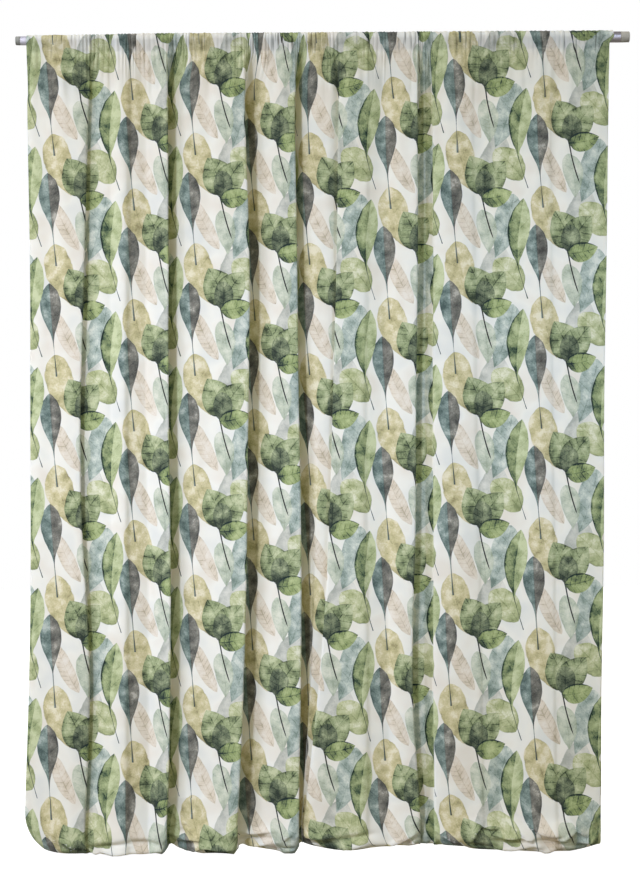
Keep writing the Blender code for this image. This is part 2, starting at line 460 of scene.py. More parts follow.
SLATE = Paint(
    tones((0.0, 80, 97, 92), (0.45, 122, 140, 133), (0.8, 161, 176, 169), (1.0, 193, 202, 195)),
    level=0.52, along=0.10, mottle=0.95, veins=0.24, rim=0.20, foot=0.20, ragged=0.0014,
    right_tones=tones((0.0, 78, 78, 72), (0.45, 116, 115, 106), (0.8, 148, 146, 135),
                      (1.0, 188, 185, 174)))
MEADOW = Paint(
    tones((0.0, 62, 72, 54), (0.25, 112, 124, 90), (0.55, 158, 170, 126), (1.0, 206, 212, 174)),
    level=0.58, along=0.24, across=0.10, mottle=0.85, veins=0.44, rim=0.20, foot=0.46, ragged=0.0014)
HEART = Paint(
    tones((0.0, 52, 62, 52), (0.4, 100, 111, 88), (0.8, 142, 152, 119), (1.0, 178, 186, 150)),
    level=0.50, along=0.30, mottle=1.00, veins=0.40, rim=0.18, foot=0.36, ragged=0.0024, strength=0.9)
DARK_EDGED = Paint(
    tones((0.0, 38, 52, 50), (0.2, 94, 109, 80), (0.5, 152, 167, 111), (1.0, 200, 210, 158)),
    level=0.60, along=0.14, mottle=0.75, veins=0.40, rim=0.85, rim_side=-1, foot=0.35, ragged=0.0012)
STALK = Paint(
    tones((0.0, 32, 34, 32), (1.0, 92, 92, 80)),
    level=0.35, mottle=0.6, veins=0.0, rim=0.0, soft=0.0007, ragged=0.0)


@dataclass(frozen=True)
class LeafSpot:
    """Where a place of the print lies on one leaf.

    along is the share of the way from foot to tip, across is half widths from the bent middle line,
    width is the leaf's own half width there and over is across as a share of it.
    """

    along: Socket
    across: Socket
    width: Socket
    over: Socket


@dataclass(frozen=True)
class LeafPrint:
    """A half-drop repeat of watercolour leaves, drawn on the flat cloth in metres."""

    pitch: float = 0.263
    rise: float = 0.324
    vein_half_width: float = 0.0009
    rib_half_width: float = 0.0011
    rim_share: float = 0.24
    foot_fade: float = 2.4
    narrowest: float = 0.04
    patchiness: float = 4.0
    patch_strength: float = 0.6
    leaves: tuple[Leaf, ...] = (
        Leaf("mist", (0.190, 0.246), 18, 0.188, 0.094, Outline.OVAL, MIST_WASH, Bend.BOWED, 0.012, 6),
        Leaf("straw", (0.104, 0.254), -17, 0.190, 0.088, Outline.FEATHER, STRAW_WASH, Bend.BOWED, -0.016, 5),
        Leaf("sky", (0.228, 0.066), 17, 0.196, 0.086, Outline.FEATHER, SKY_WASH, Bend.BOWED, 0.014, 8),
        Leaf("lime", (-0.022, 0.084), -44, 0.124, 0.082, Outline.OVAL, LIME_WASH, Bend.BOWED, 0.010, 5),
        Leaf("dew", (0.170, 0.050), -10, 0.132, 0.060, Outline.FEATHER, DEW_WASH, Bend.BOWED, 0.014, 6),
        Leaf("reed", (0.118, 0.072), -27, 0.160, 0.046, Outline.OVAL, REED_WASH, Bend.BOWED, -0.012, 11),
        Leaf("slate", (0.066, 0.118), -3, 0.226, 0.066, Outline.SPOON, SLATE, Bend.CURVED, 0.012, 8),
        Leaf("long", (0.014, 0.176), 4, 0.266, 0.068, Outline.LANCE, TWO_TONE, Bend.HOOKED_FOOT, 0.046, 6),
        Leaf("stalk", (0.168, 0.098), -8, 0.130, 0.0075, Outline.STALK, STALK, Bend.CURVED, 0.030, 0),
        Leaf("left broad", (0.146, 0.216), -25, 0.122, 0.096, Outline.BROAD, MEADOW, Bend.BOWED, 0.010, 6),
        Leaf("right broad", (0.196, 0.208), 35, 0.118, 0.086, Outline.BROAD, MEADOW, Bend.BOWED, -0.010, 6),
        Leaf("heart", (0.165, 0.190), 2, 0.082, 0.060, Outline.OVAL, HEART, Bend.BOWED, 0.008, 5),
        Leaf("low", (0.206, 0.156), 78, 0.094, 0.058, Outline.BROAD, DARK_EDGED, Bend.BOWED, 0.010, 6),
    )

    def group(self) -> bpy.types.NodeTree:
        """Builds the print as a node group.

        Returns:
            A group that takes a place on the flat cloth and gives the ink's colour there.
        """
        tree = bpy.data.node_groups.new("leaf_print", "ShaderNodeTree")
        tree.interface.new_socket("Place", in_out="INPUT", socket_type="NodeSocketVector")
        tree.interface.new_socket("Colour", in_out="OUTPUT", socket_type="NodeSocketColor")
        nodes = Nodes(tree)
        place = nodes.add("NodeGroupInput").outputs[0]
        blotches = nodes.noise(place, 30.0, 4.0, flat=True)
        grain = nodes.noise(place, 210.0, 2.0, flat=True)
        bloom = nodes.noise(place, 9.0, 2.0, flat=True)
        fine = nodes.math("MULTIPLY_ADD", grain, 0.55, -1.275)
        mottling = nodes.math("MULTIPLY_ADD", blotches, 2.0, fine)
        colour = GROUND
        for tint, side, start in ((CREAM_GROUND, 1, -1.9), (COOL_GROUND, -1, 2.0)):
            patch = nodes.math("MULTIPLY_ADD", bloom, side * self.patchiness, start, clamp=True)
            colour = nodes.mix(nodes.math("MULTIPLY", patch, self.patch_strength), colour, tint)
        for leaf in self.leaves:
            colour = self.lay(nodes, leaf, place, mottling, grain, colour)
        nodes.feed(nodes.add("NodeGroupOutput").inputs[0], colour)
        return tree

    def local(self, nodes: Nodes, leaf: Leaf, place: Socket) -> Socket:
        """Works out where a place is on the nearest copy of a leaf.

        Args:
            nodes: The tree to write in.
            leaf: The leaf.
            place: The place on the flat cloth.

        Returns:
            Half widths from the middle line as x, and the share of the way from foot to tip as y.
        """
        from_middle = nodes.vector("SUBTRACT", place, (*leaf.middle, 0.0))
        column = nodes.math("ROUND", nodes.math("DIVIDE", nodes.split(from_middle)[0], self.pitch))
        drop = (-self.pitch, -self.rise / 2, 0.0)
        moved = nodes.vector("MULTIPLY_ADD", nodes.point(column, column), drop, from_middle)
        tile = (self.pitch, self.rise / 2, 1.0)
        wrapped = nodes.vector("WRAP", moved, tile, tuple(-side for side in tile))
        turn = -math.radians(leaf.lean)
        foot = Matrix.Rotation(turn, 2) @ Vector((-leaf.sway / 2, -leaf.length / 2))
        mapping = nodes.add("ShaderNodeMapping", vector_type="TEXTURE")
        nodes.feed(mapping.inputs["Vector"], wrapped)
        mapping.inputs["Location"].default_value = (foot.x, foot.y, 0.0)
        mapping.inputs["Rotation"].default_value = (0.0, 0.0, turn)
        mapping.inputs["Scale"].default_value = (leaf.width / 2, leaf.length, 1.0)
        return mapping.outputs[0]

    def spot(self, nodes: Nodes, leaf: Leaf, place: Socket) -> LeafSpot:
        """Works out where a place is on a leaf with its bend and its outline.

        Args:
            nodes: The tree to write in.
            leaf: The leaf.
            place: The place on the flat cloth.

        Returns:
            The place on the leaf.
        """
        sideways, along, _ = nodes.split(self.local(nodes, leaf, place))
        sway = nodes.curve(along, leaf.bend.value)
        across = nodes.math("MULTIPLY_ADD", sway, -leaf.sway / (leaf.width / 2), sideways)
        width = nodes.curve(along, leaf.outline.value)
        over = nodes.math("DIVIDE", across, nodes.math("MAXIMUM", width, self.narrowest))
        return LeafSpot(along, across, width, over)

    def mask(self, nodes: Nodes, leaf: Leaf, spot: LeafSpot, mottling: Socket) -> Socket:
        """Works out how much of the leaf's paint there is.

        Args:
            nodes: The tree to write in.
            leaf: The leaf.
            spot: The place on the leaf.
            mottling: The paint's unevenness, about -0.5 to 0.5.

        Returns:
            0 beside the leaf, up to the paint's strength on it.
        """
        paint = leaf.paint
        half = leaf.width / 2
        inside = nodes.math("SUBTRACT", spot.width, nodes.math("ABSOLUTE", spot.across))
        if paint.ragged:
            inside = nodes.math("MULTIPLY_ADD", mottling, paint.ragged / half, inside)
        mask = nodes.math("MULTIPLY_ADD", inside, half / paint.soft, 0.3, clamp=True)
        if paint.strength < 1.0:
            mask = nodes.math("MULTIPLY", mask, paint.strength)
        return mask

    def washed(self, nodes: Nodes, paint: Paint, spot: LeafSpot, mottling: Socket,
               side: Socket | None) -> Socket:
        """Works out the tone of a leaf's wash: its unevenness, its dark foot, its two halves and its rim.

        Args:
            nodes: The tree to write in.
            paint: The leaf's paint.
            spot: The place on the leaf.
            mottling: The paint's unevenness, about -0.5 to 0.5.
            side: 0 on the leaf's left half and 1 on its right, where the paint asks for it.

        Returns:
            The tone, 0 for the darkest and 1 for the lightest.
        """
        tone = nodes.math("MULTIPLY_ADD", mottling, paint.mottle, paint.level - paint.along / 2)
        tone = nodes.math("MULTIPLY_ADD", spot.along, paint.along, tone)
        if paint.across:
            tone = nodes.math("MULTIPLY_ADD", spot.over, paint.across, tone)
        if paint.foot:
            near = nodes.math("MULTIPLY_ADD", spot.along, -self.foot_fade, 1.0, clamp=True)
            near = nodes.math("MULTIPLY", near, nodes.math("MULTIPLY_ADD", mottling, 0.9, 0.9, clamp=True))
            tone = nodes.math("MULTIPLY_ADD", near, -paint.foot, tone)
        if paint.split:
            tone = nodes.math("MULTIPLY_ADD", side, paint.split, tone)
        if paint.rim:
            if paint.rim_side:
                edge = nodes.math("MULTIPLY", spot.over, paint.rim_side)
            else:
                edge = nodes.math("ABSOLUTE", spot.over)
            slope = 1.0 / self.rim_share
            rim = nodes.math("MULTIPLY_ADD", edge, slope, 1.0 - slope, clamp=True)
            rim = nodes.math("MULTIPLY", rim, nodes.math("SUBTRACT", 1.0, mottling))
            tone = nodes.math("MULTIPLY_ADD", rim, -paint.rim, tone)
        return tone

    def veined(self, nodes: Nodes, leaf: Leaf, spot: LeafSpot, mottling: Socket, grain: Socket) -> Socket:
        """Draws a leaf's rib and its pairs of side veins.

        Args:
            nodes: The tree to write in.
            leaf: The leaf.
            spot: The place on the leaf.
            mottling: The paint's unevenness, about -0.5 to 0.5.
            grain: A fine random pattern.

        Returns:
            How much ink there is.
        """
        steps = nodes.math("MULTIPLY", spot.along, leaf.vein_pairs)
        phase = nodes.math("MULTIPLY_ADD", nodes.math("ABSOLUTE", spot.over), -leaf.vein_rise, steps)
        phase = nodes.math("MULTIPLY_ADD", grain, 0.22, phase)
        spread = leaf.length / leaf.vein_pairs / self.vein_half_width
        line = nodes.math("MULTIPLY_ADD", nodes.math("PINGPONG", phase, 0.5), -spread / 2, 1.0, clamp=True)
        from_rib = nodes.math("ABSOLUTE", spot.across)
        rib_slope = -leaf.width / 2 / self.rib_half_width / 2
        rib = nodes.math("MULTIPLY_ADD", from_rib, rib_slope, 1.0, clamp=True)
        drawn = nodes.math("MAXIMUM", line, rib)
        return nodes.math("MULTIPLY", drawn, nodes.math("SUBTRACT", 0.75, mottling))

    def lay(self, nodes: Nodes, leaf: Leaf, place: Socket, mottling: Socket, grain: Socket,
            below: object) -> Socket:
        """Lays one leaf over what is below it.

        Args:
            nodes: The tree to write in.
            leaf: The leaf.
            place: The place on the flat cloth.
            mottling: The paint's unevenness, about -0.5 to 0.5.
            grain: A fine random pattern.
            below: The colour below.

        Returns:
            The colour with the leaf on it.
        """
        paint = leaf.paint
        spot = self.spot(nodes, leaf, place)
        side = None
        if paint.split or paint.right_tones:
            side = nodes.math("MULTIPLY_ADD", spot.over, 9.0, 0.5, clamp=True)
        tone = self.washed(nodes, paint, spot, mottling, side)
        if paint.veins and leaf.vein_pairs:
            ink = self.veined(nodes, leaf, spot, mottling, grain)
            tone = nodes.math("MULTIPLY_ADD", ink, -paint.veins, tone)
        colour = nodes.ramp(tone, paint.tones)
        if paint.right_tones:
            colour = nodes.mix(side, colour, nodes.ramp(tone, paint.right_tones))
        return nodes.mix(self.mask(nodes, leaf, spot, mottling), below, colour)


# ------------------------------------------------------------------------------------------------
# The cloth


@dataclass(frozen=True)
class Fold:
    """One fold: the line of its crest down the cloth, and the recess beside it."""

    name: str
    crest: tuple[float, ...]
    gap: tuple[float, ...]
    front: float
    back: float
    shoulder: float
    tuck: float
    turn: int


@dataclass(frozen=True)
class HemPoint:
    """How the hem meets the floor at one place along the curtain."""

    x: float
    lift: float
    bulge: float
    sweep: float


@dataclass(frozen=True)
class Break:
    """One station of the cloth where it breaks on the floor."""

    height: float
    depth: float
    bulge: float
    sweep: float


@dataclass(frozen=True)
class Crease:
    """One crease near the floor: a soft ridge, or a trough where its rise is negative."""

    x: float
    height: float
    lean: float
    length: float
    width: float
    rise: float


@dataclass(frozen=True)
class Wave:
    """One set of soft upright waves in the cloth between its folds."""

    length: float
    height: float
    run: float
    phase: float
    drift: float


# The heights at which the edges and the folds are given.
LEVELS = (-0.18, -0.68, -1.35, -1.94, -2.30)
LEFT_EDGE = (-0.867, -0.866, -0.868, -0.874, -0.891)
RIGHT_EDGE = (0.840, 0.831, 0.819, 0.807, 0.803)
FOLDS = (
    Fold("first", (-0.683, -0.701, -0.717, -0.693, -0.709), (0.059, 0.073, 0.085, 0.041, 0.041),
         0.006, 0.013, 0.004, 0.007, 1),
    Fold("soft", (-0.572, -0.578, -0.585, -0.589, -0.591), (0.055, 0.055, 0.062, 0.065, 0.065),
         0.009, 0.001, 0.009, -0.008, 1),
    Fold("left deep", (-0.453, -0.455, -0.453, -0.457, -0.469), (0.029, 0.026, 0.035, 0.038, 0.044),
         0.021, 0.036, 0.014, 0.014, 1),
    Fold("middle deep", (-0.226, -0.219, -0.228, -0.241, -0.262), (0.032, 0.032, 0.038, 0.038, 0.050),
         0.026, 0.042, 0.014, 0.014, 1),
    Fold("right deep", (-0.079, -0.078, -0.074, -0.074, -0.083), (0.023, 0.023, 0.035, 0.026, 0.012),
         0.024, 0.042, 0.010, 0.012, 1),
    Fold("leaning", (0.047, 0.035, 0.010, -0.029, -0.072), (0.041, 0.041, 0.029, 0.021, 0.006),
         0.008, 0.006, -0.002, 0.007, -1),
    Fold("rounded", (0.129, 0.123, 0.113, 0.115, 0.113), (0.062, 0.062, 0.066, 0.066, 0.066),
         0.008, 0.000, 0.008, -0.008, 1),
    Fold("channel left", (0.278, 0.274, 0.267, 0.254, 0.273), (0.017, 0.017, 0.018, 0.020, 0.015),
         0.010, 0.022, 0.019, 0.006, 1),
    Fold("channel right", (0.320, 0.318, 0.317, 0.313, 0.312), (0.016, 0.017, 0.018, 0.020, 0.015),
         0.008, 0.022, 0.019, 0.004, -1),
    Fold("shallow", (0.438, 0.436, 0.444, 0.453, 0.452), (0.055, 0.055, 0.055, 0.050, 0.050),
         0.005, 0.001, 0.005, -0.006, 1),
    Fold("last", (0.666, 0.666, 0.665, 0.668, 0.670), (0.030, 0.030, 0.030, 0.030, 0.030),
         0.004, 0.001, 0.003, -0.004, 1),
)
HEM = (
    HemPoint(-0.860, 0.004, 0.000, 0.050),
    HemPoint(-0.780, 0.000, 0.010, 0.060),
    HemPoint(-0.600, 0.001, 0.012, 0.050),
    HemPoint(-0.484, 0.002, 0.010, 0.045),
    HemPoint(-0.468, 0.026, 0.004, 0.025),
    HemPoint(-0.440, 0.019, 0.002, 0.020),
    HemPoint(-0.410, 0.008, 0.006, 0.036),
    HemPoint(-0.380, 0.002, 0.010, 0.045),
    HemPoint(-0.276, 0.000, 0.010, 0.050),
    HemPoint(-0.260, 0.024, 0.004, 0.025),
    HemPoint(-0.225, 0.021, 0.002, 0.020),
    HemPoint(-0.190, 0.015, 0.006, 0.032),
    HemPoint(-0.150, 0.010, 0.008, 0.040),
    HemPoint(-0.096, 0.003, 0.010, 0.045),
    HemPoint(-0.080, 0.030, 0.004, 0.028),
    HemPoint(-0.050, 0.026, 0.002, 0.030),
    HemPoint(-0.020, 0.020, 0.006, 0.036),
    HemPoint(0.067, 0.007, 0.012, 0.045),
    HemPoint(0.120, 0.014, 0.010, 0.040),
    HemPoint(0.200, 0.021, 0.008, 0.035),
    HemPoint(0.340, 0.024, 0.008, 0.030),
    HemPoint(0.390, 0.020, 0.012, 0.034),
    HemPoint(0.440, 0.010, 0.018, 0.040),
    HemPoint(0.510, 0.006, 0.022, 0.046),
    HemPoint(0.600, 0.001, 0.022, 0.050),
    HemPoint(0.720, 0.001, 0.014, 0.050),
    HemPoint(0.775, 0.012, 0.006, 0.045),
    HemPoint(0.820, 0.025, 0.000, 0.040),
)
WAVES = (
    Wave(0.031, 0.0016, 0.30, 0.4, 0.9),
    Wave(0.047, 0.0018, 0.55, 1.7, -0.7),
    Wave(0.073, 0.0016, 1.60, 2.9, 0.5),
    Wave(0.118, 0.0018, 9.00, 4.1, -0.4),
    Wave(0.205, 0.0020, 9.00, 0.7, 0.3),
)
# Degrees round the rod from its back, over its top, to its front: where the pocket's rows lie, and how
# far the tallest pucker stands out there.
POCKET_TURNS = (-31, -12, 8, 30, 52, 72, 90, 108, 128, 150, 172, 192, 211)
POCKET_STAND = ((-31, 0.0012), (0, 0.0022), (60, 0.0028), (90, 0.0026), (120, 0.0032), (170, 0.0042),
                (211, 0.0038))
# From the rod's front to the seam: shares of the way down, and how far a pucker bulges there.
FRONT_DROP = ((0.35, 0.0016), (0.7, 0.0006))
# How far below the seam each row of the gathered cloth is.
GATHER_ROWS = (0.005, 0.011, 0.018, 0.027, 0.038, 0.051, 0.066, 0.084, 0.103, 0.119)
# Distances below the rod's axis, and the share of the folds' full depth that they have there.
HEADING_DEPTHS = ((0.036, 0.20), (0.060, 0.38), (0.105, 0.68), (0.180, 0.92))
HANGING_DEPTHS = ((0.155, 0.85), (0.180, 0.92), (0.350, 1.0), (2.130, 1.0), (2.225, 0.98))
BREAKS = (
    Break(0.173, 0.98, 0.00, 0.00),
    Break(0.110, 0.96, 0.30, 0.00),
    Break(0.068, 0.92, 0.80, 0.00),
    Break(0.036, 0.86, 1.00, 0.04),
    Break(0.014, 0.76, 0.75, 0.22),
    Break(0.004, 0.64, 0.30, 0.55),
    Break(0.001, 0.52, 0.00, 1.00),
)
CREASES = (
    Crease(-0.838, 0.060, -62, 0.040, 0.0075, 0.0080),
    Crease(-0.800, 0.040, -40, 0.036, 0.0055, -0.0115),
    Crease(-0.752, 0.036, -32, 0.032, 0.0050, 0.0110),
    Crease(-0.760, 0.021, -25, 0.032, 0.0050, -0.0100),
    Crease(-0.725, 0.022, -12, 0.030, 0.0040, -0.0090),
    Crease(-0.690, 0.018, -20, 0.024, 0.0045, 0.0095),
    Crease(-0.670, 0.010, 10, 0.026, 0.0040, -0.0090),
    Crease(-0.630, 0.014, 4, 0.050, 0.0070, 0.0145),
    Crease(-0.640, 0.034, 6, 0.050, 0.0070, -0.0145),
    Crease(-0.530, 0.020, 5, 0.045, 0.0075, 0.0110),
    Crease(-0.540, 0.042, -4, 0.050, 0.0085, -0.0135),
    Crease(-0.440, 0.086, 45, 0.026, 0.0075, 0.0080),
    Crease(-0.424, 0.062, -10, 0.036, 0.0070, 0.0145),
    Crease(-0.430, 0.038, 5, 0.040, 0.0070, -0.0145),
    Crease(-0.432, 0.104, -38, 0.030, 0.0060, 0.0120),
    Crease(-0.418, 0.092, -38, 0.030, 0.0050, -0.0110),
    Crease(-0.386, 0.026, 22, 0.030, 0.0055, 0.0115),
    Crease(-0.380, 0.014, 14, 0.034, 0.0045, -0.0095),
    Crease(-0.398, 0.070, -40, 0.030, 0.0070, 0.0110),
    Crease(-0.330, 0.016, 2, 0.050, 0.0055, -0.0115),
    Crease(-0.320, 0.034, -4, 0.055, 0.0075, 0.0145),
    Crease(-0.225, 0.074, 3, 0.050, 0.0070, 0.0145),
    Crease(-0.220, 0.052, 3, 0.050, 0.0060, -0.0130),
    Crease(-0.210, 0.034, 12, 0.040, 0.0060, 0.0110),
    Crease(-0.130, 0.060, 35, 0.030, 0.0075, 0.0110),
    Crease(-0.130, 0.024, 5, 0.035, 0.0055, -0.0115),
    Crease(-0.040, 0.064, -4, 0.045, 0.0070, 0.0145),
    Crease(-0.035, 0.044, -4, 0.045, 0.0060, -0.0130),
    Crease(0.060, 0.030, 5, 0.050, 0.0085, 0.0110),
    Crease(0.070, 0.054, 8, 0.050, 0.0085, -0.0135),
    Crease(0.150, 0.040, -12, 0.045, 0.0110, 0.0070),
    Crease(0.218, 0.049, 27, 0.045, 0.0050, 0.0110),
    Crease(0.225, 0.034, 27, 0.040, 0.0050, -0.0100),
    Crease(0.245, 0.030, 60, 0.018, 0.0045, 0.0095),
    Crease(0.268, 0.050, 85, 0.040, 0.0070, -0.0145),
    Crease(0.360, 0.054, -31, 0.055, 0.0060, 0.0125),
    Crease(0.328, 0.036, -60, 0.020, 0.0060, -0.0130),
    Crease(0.400, 0.026, -48, 0.024, 0.0050, -0.0110),
    Crease(0.690, 0.056, 28, 0.030, 0.0060, 0.0120),
    Crease(0.700, 0.040, 30, 0.026, 0.0050, -0.0105),
    Crease(0.780, 0.098, -70, 0.030, 0.0060, 0.0110),
    Crease(0.792, 0.070, -58, 0.030, 0.0055, -0.0110),
    Crease(0.443, 0.030, -10, 0.030, 0.0070, -0.0145),
    Crease(0.432, 0.070, 55, 0.030, 0.0060, 0.0125),
    Crease(0.470, 0.092, -15, 0.030, 0.0070, 0.0145),
    Crease(0.525, 0.062, -8, 0.045, 0.0070, 0.0145),
    Crease(0.520, 0.042, -5, 0.045, 0.0055, -0.0115),
    Crease(0.540, 0.025, 5, 0.050, 0.0060, 0.0125),
    Crease(0.572, 0.070, -40, 0.070, 0.0075, 0.0160),
    Crease(0.592, 0.084, -40, 0.060, 0.0060, -0.0130),
    Crease(0.655, 0.076, -6, 0.060, 0.0165, 0.0200),
    Crease(0.660, 0.040, -4, 0.070, 0.0085, -0.0175),
    Crease(0.650, 0.018, 10, 0.032, 0.0050, 0.0110),
    Crease(0.735, 0.082, -42, 0.050, 0.0075, 0.0160),
    Crease(0.765, 0.046, 20, 0.032, 0.0075, 0.0145),
    Crease(0.750, 0.024, -5, 0.040, 0.0055, -0.0115),
)


@dataclass
class Strip:
    """Rows of the cloth from the pocket's back down: their points and where these are on it when flat."""

    points: list[Array] = field(default_factory=list)
    flat_x: list[Array] = field(default_factory=list)
    flat_y: list[Array] = field(default_factory=list)

    def add(self, points: Array, flat_x: Array, flat_y: Array | float) -> None:
        """Adds one row.

        Args:
            points: The row's points.
            flat_x: Their distance from the left edge of the flat cloth.
            flat_y: Their distance down the cloth from the top of the rod.
        """
        self.points.append(points)
        self.flat_x.append(flat_x)
        self.flat_y.append(np.broadcast_to(flat_y, flat_x.shape).astype(float))


@dataclass
class Gathers:
    """The small puckers of the gathered heading: ridges side by side on the flat cloth."""

    flat_width: float
    closest: float = 0.0075
    widest: float = 0.0210
    lowest: float = 0.30
    shortest_run: float = 0.014
    longest_run: float = 0.085
    seed: int = 7
    edges: Array = field(init=False)
    heights: Array = field(init=False)
    runs: Array = field(init=False)

    def __post_init__(self) -> None:
        """Places the ridges, each with its own width, height and run."""
        random = np.random.default_rng(self.seed)
        count = int(self.flat_width / self.closest) + 1
        edges = np.cumsum(random.uniform(self.closest, self.widest, count))
        self.edges = np.concatenate([[0.0], edges[edges < self.flat_width]])
        self.heights = random.uniform(self.lowest, 1.0, len(self.edges))
        self.runs = random.uniform(self.shortest_run, self.longest_run, len(self.edges))

    def ridge(self, flat_x: Array, below: float) -> Array:
        """How far the ridges stand out, as a share of the tallest.

        Args:
            flat_x: Distance from the left edge of the flat cloth.
            below: Distance below the seam, 0 or less on the pocket.

        Returns:
            0 in the valleys, up to 1 on the ridges.
        """
        i = np.clip(np.searchsorted(self.edges, flat_x, side="right") - 1, 0, len(self.edges) - 1)
        ends = np.append(self.edges[1:], self.flat_width)
        share = (flat_x - self.edges[i]) / (ends[i] - self.edges[i])
        middles = (self.edges + ends) / 2
        height = np.interp(flat_x, middles, self.heights)
        run = np.interp(flat_x, middles, self.runs)
        fade = np.exp(-((max(below, 0.0) / run) ** 2))
        return height * fade * np.sin(np.pi * np.clip(share, 0.0, 1.0)) ** 0.7


@dataclass
class SeamLine:
    """The columns of the cloth along the seam below the pocket.

    to_even is how far each column would move if the gathers shared the cloth out evenly, and ridge is
    how far its pucker stands out, as a share of the tallest.
    """

    x: Array
    y: Array
    flat_x: Array
    to_even: Array
    ridge: Array


@dataclass
class Curtain:
    """The curtain: one printed sheet, gathered on the rod and hanging to the floor."""

    # The sheet
    floor_z: float
    flat_width: float = 2.12
    flat_length: float = 2.60
    thickness: float = 0.0011

    # Its section, and how finely it is cut into columns
    fold_rounding: float = 0.0038
    face_bow: float = 0.004
    edge_back: float = 0.010
    opening: float = 0.4
    wide_gap: float = 0.030
    samples: int = 3000
    face_pitch: float = 0.0092
    flank_pitch: float = 0.0062
    end_grading: float = 0.35
    fine: int = 3

    # The seam below the pocket, and the gathered cloth below it
    seam_z: float = -0.036
    seam_depth: float = 0.20
    seam_forward: float = 0.009
    seam_fade: float = 0.119
    seam_pucker: float = 0.0026
    gather_stand: float = 0.0036
    gather_rise: float = 0.012
    evened: float = 0.5
    first_depth: float = 0.92

    # The pocket round the two tubes
    thin_pocket: float = 0.0144
    wide_pocket: float = 0.0174
    step_from: float = -0.70
    step_to: float = -0.52
    pocket_spread: float = 0.012
    spread_from: float = -0.018
    spread_fade: float = 0.016
    spread_width: float = 0.050
    back_layer: float = 0.0030
    back_run: float = 0.010

    # The hanging cloth
    heading_end: float = -0.155
    hanging_start: float = -0.180
    hanging_rows: int = 26
    wander: float = 0.0016
    drift: float = 0.0010

    # Where it breaks on the floor, and its rounded left corner
    break_start: float = -2.225
    break_rows: int = 67
    sweep_scale: float = 0.055
    least_lift: float = 0.0003
    corner_height: float = 0.150
    corner_power: float = 2.4
    corner_reach: float = 0.060
    corner_width: float = 0.050
    corner_back: float = 0.050
    droop: float = 0.75
    droop_from: float = 0.016
    free_front: float = 0.034
    last_front: float = 0.005

    gathers: Gathers = field(init=False)
    shares: list[Array] = field(init=False)

    def __post_init__(self) -> None:
        """Settles the columns of the sheet and its gathers."""
        self.gathers = Gathers(self.flat_width)
        corners = self.corners(LEVELS[1], 1.0)
        lengths = np.hypot(*np.diff(corners, axis=0).T)
        self.shares = []
        for i, length in enumerate(lengths):
            pitch = self.face_pitch if i % 3 == 0 else self.flank_pitch
            self.shares.append(self.graded(max(2, round(length / pitch))))

    def graded(self, steps: int) -> Array:
        """Places along one stretch of the section, closer together at its ends.

        Args:
            steps: How many steps the stretch has.

        Returns:
            A share of the stretch for each fine column, its far end left out.
        """
        t = np.arange(steps * self.fine) / (steps * self.fine)
        return t - self.end_grading * np.sin(2 * np.pi * t) / (2 * np.pi)

    def corners(self, z: float, depth: float) -> Array:
        """The corners of the cloth's section.

        Args:
            z: The section's height.
            depth: The share of the folds' full depth that they have there.

        Returns:
            x and y of each corner, from the left edge to the right.
        """
        down = -np.array(LEVELS)
        found = [(through(down, LEFT_EDGE, -z), self.edge_back * depth)]
        for fold in FOLDS:
            crest = through(down, fold.crest, -z)
            gap = through(down, fold.gap, -z)
            tucked = fold.tuck * depth - self.opening * min(gap, self.wide_gap) * (1.0 - depth)
            three = [
                (crest, -fold.front * depth),
                (crest - fold.turn * tucked, fold.back * depth),
                (crest + fold.turn * gap, fold.shoulder * depth),
            ]
            found += three if fold.turn > 0 else three[::-1]
        found.append((through(down, RIGHT_EDGE, -z), self.edge_back * depth))
        return np.array(found, float)

    def section(self, z: float, depth: float) -> tuple[Array, Array, Array]:
        """The cloth's section with its corners rounded.

        Args:
            z: The section's height.
            depth: The share of the folds' full depth that they have there.

        Returns:
            x, y and distance from the left edge of the flat cloth, for every fine column.
        """
        corners = self.corners(z, depth)
        lengths = np.concatenate([[0.0], np.hypot(*np.diff(corners, axis=0).T).cumsum()])
        even = np.linspace(0.0, lengths[-1], self.samples)
        reach = int(4 * self.fold_rounding / even[1])
        kernel = np.exp(-0.5 * (np.arange(-reach, reach + 1) * even[1] / self.fold_rounding) ** 2)
        kernel /= kernel.sum()
        places = [lengths[i] + (lengths[i + 1] - lengths[i]) * s for i, s in enumerate(self.shares)]
        across = [s if i % 3 == 0 else 0.0 * s for i, s in enumerate(self.shares)]
        at = np.append(np.concatenate(places), lengths[-1])
        bow = np.sin(np.pi * np.append(np.concatenate(across), 0.0))
        soft = []
        for axis in (0, 1):
            line = np.interp(even, lengths, corners[:, axis])
            before = 2 * line[0] - line[reach:0:-1]
            after = 2 * line[-1] - line[-2 : -reach - 2 : -1]
            soft.append(np.convolve(np.concatenate([before, line, after]), kernel, "valid"))
        run = np.concatenate([[0.0], np.hypot(*np.diff(soft, axis=1)).cumsum()])
        x, y, flat_x = (np.interp(at, even, line) for line in (*soft, run * self.flat_width / run[-1]))
        return x, y - self.face_bow * depth * bow, flat_x

    def ripple(self, flat_x: Array, z: float) -> Array:
        """The soft upright waves between the folds.

        Args:
            flat_x: Distance from the left edge of the flat cloth.
            z: The height.

        Returns:
            How far the cloth stands back because of them.
        """
        down = -z
        total = np.zeros_like(flat_x)
        for wave in WAVES:
            swell = 0.65 + 0.35 * np.sin(5.1 * flat_x / wave.length / 2.1 + 1.3 * wave.phase + 1.9 * down)
            turn = 2 * np.pi * flat_x / wave.length + wave.phase
            turn = turn + wave.drift * np.sin(1.7 * down + 3.0 * wave.phase)
            total += wave.height * math.exp(-((down / wave.run) ** 2)) * swell * np.sin(turn)
        return total * float(smooth_step(down / 0.09 - 0.4))

